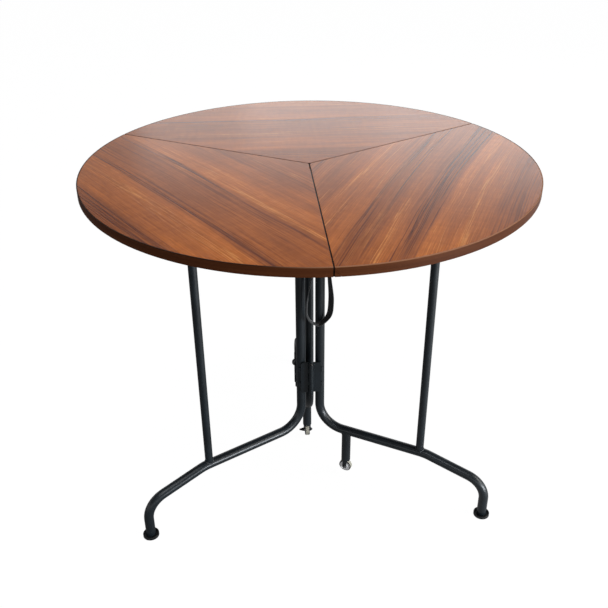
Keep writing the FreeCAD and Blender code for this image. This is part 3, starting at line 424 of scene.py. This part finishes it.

# %% [markdown]
# ## Edge band
# A 2 mm strip of PVC is glued round the rim. A picture strip wrapped round it would need a seam,
# so its printed grain is noise too, stretched in the flat and tight in height, which runs round
# the table without one. The corner where the strip meets the top is painted: a pale highlight on
# the front right of the table, where it faces the lamps, and painted shade elsewhere. Where two
# leaves meet, the rim shows a dark line, painted shade of the gap between them.

# %% Edge band material
BAND_DARK, BAND_LIGHT = "#43210F", "#573019"
# Painted highlight and painted shade for the top corner, and painted shade for the seams.
CORNER_PAINTED_SHADE, CORNER_PAINTED_HIGHLIGHT, SEAM_SHADE = "#241209", "#9A6A4C", "#140C08"
CORNER_STARTS, CORNER_FULL, CORNER_SHARE = TOP - 0.0016, TOP - 0.0004, 0.8
HIGHLIGHT_TOWARD = (0.64, -0.77, 0)
HIGHLIGHT_STARTS, HIGHLIGHT_FULL = 0.24, 0.34   # metres towards that side
# The seams are painted shade: a dark line where the gap between two leaves lies.
SEAM_HALF_WIDTH = 0.00125
SEAM_FROM_PAGE = 60                   # degrees between the middle of a page and its seam


def seam_line(tree, place, angle):
    """1 on the upright line where two bands meet at an angle round the rim."""
    turned = add_node(tree, "ShaderNodeMapping", {"Vector": place, "Rotation": (0, 0, -math.radians(angle))})
    axes = add_node(tree, "ShaderNodeSeparateXYZ", {0: turned}).outputs
    aside = add_node(tree, "ShaderNodeMath", {0: axes["Y"]}, operation="ABSOLUTE")
    near = add_node(tree, "ShaderNodeMath", {0: aside, 1: SEAM_HALF_WIDTH}, operation="LESS_THAN")
    facing = add_node(tree, "ShaderNodeMath", {0: axes["X"], 1: 0.0}, operation="GREATER_THAN")
    return add_node(tree, "ShaderNodeMath", {0: near, 1: facing}, operation="MULTIPLY")


def edge_band_material():
    """Dull printed PVC; painted highlight and shade on its top corner, painted shade in the seams."""
    material, tree, shader = new_material("walnut pvc edge band")
    place = add_node(tree, "ShaderNodeTexCoord").outputs["Object"]
    height = add_node(tree, "ShaderNodeSeparateXYZ", {0: place}).outputs["Z"]
    fine = stretched_noise(tree, place, (200, 200, 2.381), 3.0, 0.6)
    broad = stretched_noise(tree, place, (333.3, 333.3, 11.11), 2.0, 0.5)
    fine_share = add_node(tree, "ShaderNodeMath", {0: fine, 1: 0.6}, operation="MULTIPLY")
    broad_share = add_node(tree, "ShaderNodeMath", {0: broad, 1: 0.8, 2: -0.2}, operation="MULTIPLY_ADD")
    tone = add_node(tree, "ShaderNodeMath", {0: fine_share, 1: broad_share}, operation="ADD")
    wood = add_node(tree, "ShaderNodeValToRGB", {0: tone})
    set_stops(wood, [(0.25, BAND_DARK), (0.75, BAND_LIGHT)])
    # The top corner: painted highlight where it faces the front right, painted shade elsewhere.
    corner = add_node(tree, "ShaderNodeMapRange", {
        0: height, 1: CORNER_STARTS, 2: CORNER_FULL, 3: 0.0, 4: CORNER_SHARE}, **SMOOTH)
    toward = add_node(tree, "ShaderNodeVectorMath", {0: place, 1: HIGHLIGHT_TOWARD}, operation="DOT_PRODUCT")
    highlight_side = add_node(tree, "ShaderNodeMapRange", {
        0: toward.outputs["Value"], 1: HIGHLIGHT_STARTS, 2: HIGHLIGHT_FULL}, **SMOOTH)
    corner_light = add_node(tree, "ShaderNodeMix", {0: highlight_side, 6: linear(CORNER_PAINTED_SHADE), 7: linear(CORNER_PAINTED_HIGHLIGHT)},
                    data_type="RGBA").outputs[2]
    colour = add_node(tree, "ShaderNodeMix", {0: corner, 6: wood, 7: corner_light}, data_type="RGBA").outputs[2]
    # Each upright seam gets a painted shade line, where the gap between two leaves lies.
    for direction in PAGES.values():
        seam = seam_line(tree, place, direction - SEAM_FROM_PAGE)
        colour = add_node(tree, "ShaderNodeMix", {0: seam, 6: colour, 7: linear(SEAM_SHADE)},
                          data_type="RGBA").outputs[2]
    relief = add_node(tree, "ShaderNodeBump", {"Strength": 0.3, "Distance": PORE_DEPTH, "Height": fine})
    set_inputs(tree, shader, {"Base Color": colour, "Roughness": 0.45, "Specular IOR Level": 0.06,
                              "Normal": relief})
    return material


edge_band = edge_band_material()
print("edge band nodes:", len(edge_band.node_tree.nodes))

# %% [markdown]
# ## Powder-coated steel
# The tubes are dipped in a cloud of charged anthracite powder and baked. That leaves a satin
# skin with a faint orange peel about 1.5 mm from bump to bump. A flat grey would look drawn, so
# two near tones lie in soft clouds and the peel breaks the shine. The skin is a plastic, so the
# shader is not metallic. The small pins are blackened and have a tighter shine. Only the zinc of
# the screws is bare metal.

# %% Coated and plated metals
CLOUD_MM = 71.43
ROUGHNESS_SWING = 0.05


def coated_material(name, colours, roughness, peel_mm, peel_um, metallic=0.0):
    """Two near tones in soft clouds, under a skin with a fine relief of a given pitch and depth."""
    material, tree, shader = new_material(name)
    place = add_node(tree, "ShaderNodeTexCoord").outputs["Object"]
    tone = add_node(tree, "ShaderNodeValToRGB", {0: stretched_noise(tree, place, (CLOUD_MM,) * 3, 2.0, 0.5)})
    set_stops(tone, [(0.35, colours[0]), (0.65, colours[1])])
    peel = stretched_noise(tree, place, (peel_mm,) * 3, 1.0, 0.5)
    relief = add_node(tree, "ShaderNodeBump", {"Strength": 0.5, "Distance": peel_um * 1e-6, "Height": peel})
    gloss = add_node(tree, "ShaderNodeMapRange", {
        0: peel, 1: 0.3, 2: 0.7, 3: roughness - ROUGHNESS_SWING, 4: roughness + ROUGHNESS_SWING}, **SMOOTH)
    set_inputs(tree, shader, {"Base Color": tone, "Roughness": gloss, "Metallic": metallic, "Normal": relief})
    return material


# Satin and nearly black, with a cold blue in it.
anthracite = coated_material("anthracite powder coat on steel", ("#12181C", "#182025"), 0.34, 1.5, 30)
# Coarser and duller, as on small stampings.
black_coat = coated_material("black powder coat on clips", ("#141516", "#1C1D1F"), 0.5, 1.2, 80)
# Smooth and dark, with a narrow highlight.
black_steel = coated_material("blackened steel pins", ("#1A1C1F", "#282A2E"), 0.28, 0.9, 40)
# Pale grey metal with a soft mirror.
zinc = coated_material("zinc plated screws", ("#9A9A98", "#B8B8B2"), 0.32, 0.8, 30, metallic=1.0)
print("metals:", [m.name for m in (anthracite, black_coat, black_steel, zinc)])

# %% [markdown]
# ## Moulded plastics and rubber
# The glides, plugs and axle ends are moulded polypropylene with a fine spark-eroded grain. The
# tyres are soft warm-grey TPE and the wheel centres off-white nylon. They share the function of
# the coated metals, as their skin is built the same way. A tyre's flanks are coloured dark, and
# the direction that its surface faces tells flank from tread.

# %% Plastics
TYRE_FLANK = "#1C1C1B"
FLANK_STARTS, FLANK_FULL = 0.50, 0.65   # how far the surface faces the axle; the chamfers count as flank

# Black with a broad, weak highlight.
plug_plastic = coated_material("moulded black polypropylene", ("#0F1011", "#191A1B"), 0.46, 0.7, 50)
# Matt and slightly dusty.
pad_rubber = coated_material("black rubber pads", ("#111111", "#1B1A19"), 0.75, 0.9, 100)
# Off-white with a soft shine.
wheel_nylon = coated_material("off-white nylon wheel", ("#E6E5E1", "#F4F3F0"), 0.38, 0.9, 30)


def tyre_material(page):
    """Warm grey tread; the flanks and their chamfers are dark."""
    material = coated_material("warm grey tpe tyre " + page, ("#8D8A7C", "#A7A496"), 0.6, 1.2, 100)
    tree = material.node_tree
    shader = tree.nodes["Principled BSDF"]
    tread = shader.inputs["Base Color"].links[0].from_socket
    axle = math.radians(PAGES[page] + 90)
    normal = add_node(tree, "ShaderNodeTexCoord").outputs["Normal"]
    facing = add_node(tree, "ShaderNodeVectorMath", {0: normal, 1: (math.cos(axle), math.sin(axle), 0)},
                      operation="DOT_PRODUCT").outputs["Value"]
    sideways = add_node(tree, "ShaderNodeMath", {0: facing}, operation="ABSOLUTE")
    flank = add_node(tree, "ShaderNodeMapRange", {0: sideways, 1: FLANK_STARTS, 2: FLANK_FULL}, **SMOOTH)
    colour = add_node(tree, "ShaderNodeMix", {0: flank, 6: tread, 7: linear(TYRE_FLANK)}, data_type="RGBA")
    set_inputs(tree, shader, {"Base Color": colour.outputs[2]})
    return material


tyres = {page: tyre_material(page) for page in ("back", "right")}
print("tyres:", [tyre.name for tyre in tyres.values()])

# %% Put the finishes on the construction model
FINISHES = {
    "main_tube": anthracite, "top_rail": anthracite, "outer_upright": anthracite,
    "leaf_stop": anthracite, "caster_leg": anthracite, "caster_fork": anthracite,
    "hinge_plate": anthracite, "leaf_clips": black_coat, "clip_screws": zinc,
    "hinge_pin": black_steel, "strap_peg": black_steel, "strap_button": black_steel,
    "rail_plugs": plug_plastic, "foot_glide": plug_plastic, "caster_axle": plug_plastic,
    "leaf_stop_pad": pad_rubber, "carry_strap": pad_rubber,
    "caster_wheel": wheel_nylon, "leaf_edge_band": edge_band,
    **{"leaf_board_" + page: laminate for page, laminate in laminates.items()},
    **{"caster_tyre_" + page: tyre for page, tyre in tyres.items()},
}


def finish_of(name):
    """The finish whose key is the longest start of the node's name."""
    return FINISHES[max((key for key in FINISHES if name.startswith(key)), key=len)]


for name, node in nodes.items():
    node.data.materials.clear()
    node.data.materials.append(finish_of(name))
    for polygon in node.data.polygons:
        polygon.material_index = 0
print("finished nodes:", len(nodes))

# %% [markdown]
# ## Geometry Nodes for what repeats
# Weld beads, screws and stitches are one small shape set down many times. Copying them by hand
# would be slow to change. Each tree below takes a line or points with named sizes, puts its
# shape on each point, makes the copies real and gives them their material. The result is turned
# into a plain mesh, and the modifier goes.

# %% Tree and modifier helpers
def new_tree(name, **sockets):
    """Geometry tree with a geometry input and output, and inputs of the given kinds."""
    tree = bpy.data.node_groups.new(name, "GeometryNodeTree")
    tree.interface.new_socket("Geometry", in_out="INPUT", socket_type="NodeSocketGeometry")
    for label, kind in sockets.items():
        tree.interface.new_socket(label, in_out="INPUT", socket_type="NodeSocket" + kind)
    tree.interface.new_socket("Geometry", in_out="OUTPUT", socket_type="NodeSocketGeometry")
    return tree, add_node(tree, "NodeGroupInput").outputs


def close_tree(tree, copies, material, smooth=True):
    """Realise the copies, shade and paint them, and end the tree."""
    shape = add_node(tree, "GeometryNodeRealizeInstances", {0: copies})
    if smooth:
        shape = add_node(tree, "GeometryNodeSetShadeSmooth", {0: shape})
    painted = add_node(tree, "GeometryNodeSetMaterial", {0: shape, "Material": material})
    add_node(tree, "NodeGroupOutput", {0: painted})


def lines_object(name, runs, closed):
    """Mesh of bare edges through each run of points."""
    build = bmesh.new()
    for run in runs:
        verts = [build.verts.new(p) for p in run]
        pairs = list(zip(verts, verts[1:])) + ([(verts[-1], verts[0])] if closed else [])
        for pair in pairs:
            build.edges.new(pair)
    mesh = bpy.data.meshes.new(name)
    build.to_mesh(mesh)
    build.free()
    thing = bpy.data.objects.new(name, mesh)
    bpy.context.scene.collection.objects.link(thing)
    return thing


def grow(thing, tree, values):
    """Run the tree on the object with the given inputs and keep the result as its plain mesh."""
    modifier = thing.modifiers.new(tree.name, "NODES")
    modifier.node_group = tree
    for item in tree.interface.items_tree:
        if item.in_out == "INPUT" and item.name in values:
            modifier[item.identifier] = values[item.name]
    depsgraph = bpy.context.evaluated_depsgraph_get()
    mesh = bpy.data.meshes.new_from_object(thing.evaluated_get(depsgraph))
    thing.modifiers.clear()
    thing.data = mesh
    mesh.name = thing.name


# %% [markdown]
# ## Weld beads
# Where one tube's saddle-cut end stands on another, the welder runs a bead round the joint. A
# swept tube would be too even. The joint line is where two round tubes meet, so it follows from
# their radii, and small overlapping drops along that line give the ripple of a real bead.

# %% Weld bead tree
def weld_tree():
    """A drop at each step of a line, swelling a little from one to the next."""
    tree, given = new_tree("weld_bead", Pitch="Float", Radius="Float", Seed="Int", Paint="Material")
    line = add_node(tree, "GeometryNodeMeshToCurve", {0: given["Geometry"]})
    steps = add_node(tree, "GeometryNodeResampleCurve", {"Curve": line, "Length": given["Pitch"]},
                     mode="LENGTH")
    drop = add_node(tree, "GeometryNodeMeshIcoSphere", {"Radius": given["Radius"], "Subdivisions": 2})
    swell = add_node(tree, "FunctionNodeRandomValue", {2: 0.85, 3: 1.1, "Seed": given["Seed"]}).outputs[1]
    drops = add_node(tree, "GeometryNodeInstanceOnPoints", {
        "Points": steps, "Instance": drop, "Scale": swell})
    close_tree(tree, drops, given["Paint"])
    return tree


# %% Where the tubes meet
BEAD = {"Pitch": 0.0016, "Radius": 0.0017, "Seed": 7, "Paint": anthracite}
FLUSH_SIDE = 0.0083   # the beads are dressed at the sides, where a tipped leaf lies against the tubes
JOINT_STEPS = 72
TUBE_RADIUS, UPRIGHT_RADIUS = 0.010, 0.00825
RAIL_HEIGHT, STRUT_HEIGHT = 0.7007, 0.120
POST_REACH, UPRIGHT_REACH, CASTER_REACH = 0.0235, 0.258, 0.089


def saddle(page, reach, radius, host_height, side):
    """Joint line of an upright tube on a level tube of the frame, above (1) or below (-1) it."""
    turn = Matrix.Rotation(math.radians(PAGES[page]), 3, "Z")
    run = []
    for i in range(JOINT_STEPS):
        angle = 2 * math.pi * i / JOINT_STEPS
        x, y = reach + radius * math.cos(angle), radius * math.sin(angle)
        y = max(-FLUSH_SIDE, min(FLUSH_SIDE, y))
        rise = math.sqrt(TUBE_RADIUS ** 2 - y ** 2)
        run.append(turn @ Vector((x, y, host_height + side * rise)))
    return run


beads = weld_tree()
for page in PAGES:
    joints = [saddle(page, POST_REACH, TUBE_RADIUS, RAIL_HEIGHT, -1),
              saddle(page, UPRIGHT_REACH, UPRIGHT_RADIUS, RAIL_HEIGHT, -1),
              saddle(page, UPRIGHT_REACH, UPRIGHT_RADIUS, STRUT_HEIGHT, 1)]
    if page in tyres:
        joints.append(saddle(page, CASTER_REACH, TUBE_RADIUS, STRUT_HEIGHT, -1))
    welds = lines_object("weld_beads_" + page, joints, closed=True)
    grow(welds, beads, BEAD)
    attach(welds, page + "_frame")
    print(welds.name, len(welds.data.polygons), "faces")

# %% [markdown]
# ## Clip screws
# Eight pan-head screws hold the two rail clips under each leaf. The construction model has
# plain heads. Cutting 24 recesses by hand would be slow, so one tree cuts a cross with two bars
# into one squat head, adds the shank and sets the screw on all eight places of a leaf.

# %% Screw tree
HEAD_TAPER = 0.62   # width of the head's flat face over its full width


def screw_tree():
    """A cross-head screw on each point, head down."""
    tree, given = new_tree("cross_head_screw", Head="Float", Height="Float", Shank="Float", Length="Float",
                           Recess="Vector", Paint="Material")
    narrow = add_node(tree, "ShaderNodeMath", {0: given["Head"], 1: HEAD_TAPER}, operation="MULTIPLY")
    head = add_node(tree, "GeometryNodeMeshCone", {
        "Vertices": 28, "Radius Top": given["Head"], "Radius Bottom": narrow, "Depth": given["Height"]})
    bar = add_node(tree, "GeometryNodeMeshCube", {"Size": given["Recess"]})
    crossbar = add_node(tree, "GeometryNodeTransform", {0: bar, "Rotation": (0, 0, math.pi / 2)})
    cutters = add_node(tree, "GeometryNodeJoinGeometry", {0: [bar, crossbar]})
    recessed = add_node(tree, "GeometryNodeMeshBoolean", {0: head, 1: cutters}, operation="DIFFERENCE")
    shank = add_node(tree, "GeometryNodeMeshCylinder", {
        "Vertices": 16, "Radius": given["Shank"], "Depth": given["Length"]})
    half = add_node(tree, "ShaderNodeMath", {0: given["Length"], 1: 0.5}, operation="MULTIPLY")
    rise = add_node(tree, "ShaderNodeMath", {0: half, 1: given["Height"]}, operation="ADD")
    lift = add_node(tree, "ShaderNodeCombineXYZ", {2: rise})
    raised = add_node(tree, "GeometryNodeTransform", {0: shank, "Translation": lift})
    screw = add_node(tree, "GeometryNodeJoinGeometry", {0: [recessed, raised]})
    points = add_node(tree, "GeometryNodeMeshToPoints", {0: given["Geometry"]})
    screws = add_node(tree, "GeometryNodeInstanceOnPoints", {"Points": points, "Instance": screw})
    close_tree(tree, screws, given["Paint"], smooth=False)
    return tree


# %% Set the screws
SCREW = {"Head": 0.0040, "Height": 0.0022, "Shank": 0.0020, "Length": 0.013,
         "Recess": (0.0052, 0.0011, 0.0020), "Paint": zinc}
CLIP_REACHES, SCREW_SPREAD, SCREW_ACROSS = (0.070, 0.295), 0.00625, 0.0203


def screw_places(page):
    """Eight places of a leaf, at the foot of each screw head."""
    turn = Matrix.Rotation(math.radians(PAGES[page]), 3, "Z")
    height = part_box("clip_screws_" + page)[0].z
    return [turn @ Vector((reach + end * SCREW_SPREAD, side * SCREW_ACROSS, 0)) + Vector((0, 0, height))
            for reach in CLIP_REACHES for side in (-1, 1) for end in (-1, 1)]


screw_set = screw_tree()
for page in PAGES:
    screws = lines_object("cross_head_screws_" + page, [[p] for p in screw_places(page)], closed=False)
    grow(screws, screw_set, SCREW)
    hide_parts("clip_screws_" + page)
    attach(screws, page + "_leaf")
    print(screws.name, len(screws.data.polygons), "faces")

# %% [markdown]
# ## Webbing strap
# A flat strap of woven polyester hangs from a peg on the right post and closes the folded
# bundle. A cloth simulation would give it, but flat webbing keeps its width, so a ribbon with
# rounded edges, lofted along its middle line, is enough and always the same. The two sides of
# the loop turn a little, as webbing does when it hangs. UV coordinates in metres follow the
# ribbon, so that the weave does too.

# %% Strap material
WEBBING_DARK, WEBBING_LIGHT = "#0B0B0C", "#232325"
RIB_MM, YARN_MM = 2.0944, 1.496     # coarser than real ones, which are too fine to show
WAVE_LENGTH = 2 * math.pi / 20      # of the Wave Texture at a scale of 1


def webbing_material():
    """Black ribbed webbing: matt, with a faint sheen of fibres."""
    material, tree, shader = new_material("black woven polyester webbing")
    place = add_node(tree, "ShaderNodeUVMap", uv_map="along_strap")
    ribs = add_node(tree, "ShaderNodeTexWave", {
        "Vector": place, "Scale": 1000 * WAVE_LENGTH / RIB_MM, "Distortion": 0.6, "Detail": 1.0},
        bands_direction="X")
    yarns = add_node(tree, "ShaderNodeTexWave", {
        "Vector": place, "Scale": 1000 * WAVE_LENGTH / YARN_MM, "Distortion": 0.4, "Detail": 1.0},
        bands_direction="Y")
    weave = add_node(tree, "ShaderNodeMath", {0: ribs.outputs["Fac"], 1: yarns.outputs["Fac"]},
                     operation="MULTIPLY")
    tone = add_node(tree, "ShaderNodeValToRGB", {0: weave})
    set_stops(tone, [(0.1, WEBBING_DARK), (0.8, WEBBING_LIGHT)])
    relief = add_node(tree, "ShaderNodeBump", {"Strength": 0.8, "Distance": 0.0004, "Height": weave})
    set_inputs(tree, shader, {"Base Color": tone, "Roughness": 0.62, "Normal": relief,
                              "Sheen Weight": 0.25, "Sheen Roughness": 0.5})
    return material


webbing = webbing_material()
print("webbing nodes:", len(webbing.node_tree.nodes))

# %% Middle line of the strap
PEG_RADIUS, PEG_HEIGHT, PEG_PLAY = 0.0025, 0.614, 0.0003
STRAP_TURN, STRAP_TWIST, STRAP_LEAN = math.radians(12), math.radians(26), math.radians(2.6)
STRAP_HALF_WIDTH, STRAP_HALF_THICKNESS = 0.008, 0.00075
STRAP_BELLY, STRAP_DROP, STRAP_WIDEST = 0.0255, 0.223, 0.172   # half width, depth, and where it is widest
OVER_PEG = PEG_RADIUS + PEG_PLAY + STRAP_HALF_THICKNESS
POST_GAP = 0.0006   # between the webbing and the post
STRAP_REACH = TUBE_RADIUS + POST_GAP + STRAP_HALF_WIDTH
LINE_STEPS = 12   # between two guide points


def strap_guides():
    """Points of the hanging loop in its own plane: x to the side, z up, the peg at the origin."""
    side = [(OVER_PEG + 0.1 * STRAP_BELLY, -0.12 * STRAP_DROP), (0.74 * STRAP_BELLY, -2 * STRAP_WIDEST / 3),
            (STRAP_BELLY, -STRAP_WIDEST), (0.84 * STRAP_BELLY, -(2 * STRAP_DROP + STRAP_WIDEST) / 3)]
    turns = [math.radians(degrees) for degrees in range(0, 181, 30)]
    arc = [(OVER_PEG * math.cos(turn), OVER_PEG * math.sin(turn)) for turn in turns]
    left = [(-half, z) for half, z in side]
    other = [(half, z) for half, z in reversed(side)]
    return [Vector((x, 0, z)) for x, z in arc + left + [(0, -STRAP_DROP)] + other]


def between(a, b, start, end, at):
    """Point on the way from one point to another, where the way runs from start to end."""
    return a * (end - at) / (end - start) + b * (at - start) / (end - start)


def closed_smooth_line(guides, steps):
    """Centripetal Catmull-Rom line through a ring of points."""
    count = len(guides)
    line = []
    for i in range(count):
        p = [guides[(i + k - 1) % count] for k in range(4)]
        t = [0.0]
        for a, b in zip(p, p[1:]):
            t.append(t[-1] + math.sqrt((b - a).length))
        for part in range(steps):
            s = t[1] + (t[2] - t[1]) * part / steps
            a = [between(p[k], p[k + 1], t[k], t[k + 1], s) for k in range(3)]
            b = [between(a[k], a[k + 1], t[k], t[k + 2], s) for k in range(2)]
            line.append(between(b[0], b[1], t[1], t[2], s))
    return line


strap_line = closed_smooth_line(strap_guides(), LINE_STEPS)
print("strap line:", len(strap_line), "points")

# %% Loft the ribbon
POST_ANGLE = math.radians(PAGES["right"])
peg_forward = Vector((math.sin(STRAP_TURN), -math.cos(STRAP_TURN), 0))
strap_origin = (POST_REACH * Vector((math.cos(POST_ANGLE), math.sin(POST_ANGLE), 0))
                + STRAP_REACH * peg_forward + Vector((0, 0, PEG_HEIGHT)))
strap_place = (Matrix.Translation(strap_origin) @ Matrix.Rotation(STRAP_TURN, 4, "Z")
               @ Matrix.Rotation(STRAP_LEAN, 4, "Y"))


def strap_axes(centre, along):
    """Directions across and through the webbing at a point of its middle line."""
    wide = Matrix.Rotation(STRAP_TWIST * (centre.x / STRAP_BELLY) ** 3, 3, "Z") @ Vector((0, 1, 0))
    return wide, along.cross(wide).normalized()


def ribbon_section():
    """Corners of the cross-section with its half-round edges, across and through the webbing."""
    w, h = STRAP_HALF_WIDTH, STRAP_HALF_THICKNESS
    corners = []
    for side in (1, -1):
        for degrees in (90, 50, 0, -50, -90):
            a = math.radians(degrees)
            corners.append((side * (w - h + h * math.cos(a)), side * h * math.sin(a)))
    return corners


def strap_mesh(line):
    """Ribbon round the closed line, with a UV map in metres, and its length."""
    section = ribbon_section()
    build = bmesh.new()
    uv = build.loops.layers.uv.new("along_strap")
    rings, lengths, run = [], [], 0.0
    for i, centre in enumerate(line):
        following = line[(i + 1) % len(line)]
        wide, thick = strap_axes(centre, (following - line[i - 1]).normalized())
        rings.append([build.verts.new(strap_place @ (centre + wide * a + thick * b)) for a, b in section])
        lengths.append(run)
        run += (following - centre).length
    lengths.append(run)
    for i, ring in enumerate(rings):
        following = rings[(i + 1) % len(rings)]
        for j in range(len(section)):
            k = (j + 1) % len(section)
            face = build.faces.new((ring[j], ring[k], following[k], following[j]))
            face.smooth = True
            corners = ((i, j), (i, k), (i + 1, k), (i + 1, j))
            for loop, (row, corner) in zip(face.loops, corners):
                loop[uv].uv = (lengths[row], section[corner][0])
    bmesh.ops.recalc_face_normals(build, faces=build.faces)
    mesh = bpy.data.meshes.new("webbing_strap")
    build.to_mesh(mesh)
    build.free()
    return mesh, run


mesh, strap_length = strap_mesh(strap_line)
mesh.materials.append(webbing)
strap = bpy.data.objects.new("webbing_strap", mesh)
bpy.context.scene.collection.objects.link(strap)
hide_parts("carry_strap")
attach(strap, "right_frame")
print("strap loop:", round(strap_length * 1000), "mm round")

# %% [markdown]
# ## Stitching
# The ends of the real webbing overlap below the peg and are sewn in a box. The overlap is too
# thin to show, so only its stitches are made. They are short thread loops that follow two rows
# along the strap and two across it, set down by a tree that turns each one to its row.

# %% Stitch tree
def stitch_tree():
    """A thread at each step of a line, laid along it."""
    tree, given = new_tree("stitch_row", Pitch="Float", Size="Vector", Paint="Material")
    line = add_node(tree, "GeometryNodeMeshToCurve", {0: given["Geometry"]})
    steps = add_node(tree, "GeometryNodeResampleCurve", {"Curve": line, "Length": given["Pitch"]},
                     mode="LENGTH")
    bead = add_node(tree, "GeometryNodeMeshIcoSphere", {"Radius": 1.0, "Subdivisions": 2})
    thread = add_node(tree, "GeometryNodeTransform", {0: bead, "Scale": given["Size"]})
    heading = add_node(tree, "GeometryNodeInputTangent")
    turned = add_node(tree, "FunctionNodeAlignRotationToVector", {"Vector": heading}, axis="X")
    threads = add_node(tree, "GeometryNodeInstanceOnPoints", {
        "Points": steps, "Instance": thread, "Rotation": turned})
    close_tree(tree, threads, given["Paint"])
    return tree


# %% Sew the strap
STITCH_ROWS = (-0.0055, 0.0055)
STITCH_LIFT = STRAP_HALF_THICKNESS + 0.0001
SEWN_FROM, SEWN_POINTS = -0.060, 14   # height below the peg, and points of the line from there
STITCH = {"Pitch": 0.0032, "Size": (0.0012, 0.0003, 0.0003), "Paint": webbing}


def stitch_rows(line):
    """Two rows on the outer face of the strap's right side, and the cross rows between them."""
    start = next(i for i in range(len(line) - 1, 0, -1) if line[i].z < SEWN_FROM)
    picked = line[start:start + SEWN_POINTS]
    rows = [[], []]
    for i, centre in enumerate(picked):
        along = (picked[min(i + 1, SEWN_POINTS - 1)] - picked[max(i - 1, 0)]).normalized()
        wide, out = strap_axes(centre, along)
        out = out if out.x > 0 else -out
        for row, shift in zip(rows, STITCH_ROWS):
            row.append(strap_place @ (centre + wide * shift + out * STITCH_LIFT))
    return rows + [[rows[0][0], rows[1][0]], [rows[0][-1], rows[1][-1]]]


stitches = lines_object("strap_stitches", stitch_rows(strap_line), closed=False)
grow(stitches, stitch_tree(), STITCH)
stitches.data.uv_layers.new(name="along_strap")   # the webbing's finish asks for this map
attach(stitches, "right_frame")
print("stitch faces:", len(stitches.data.polygons))
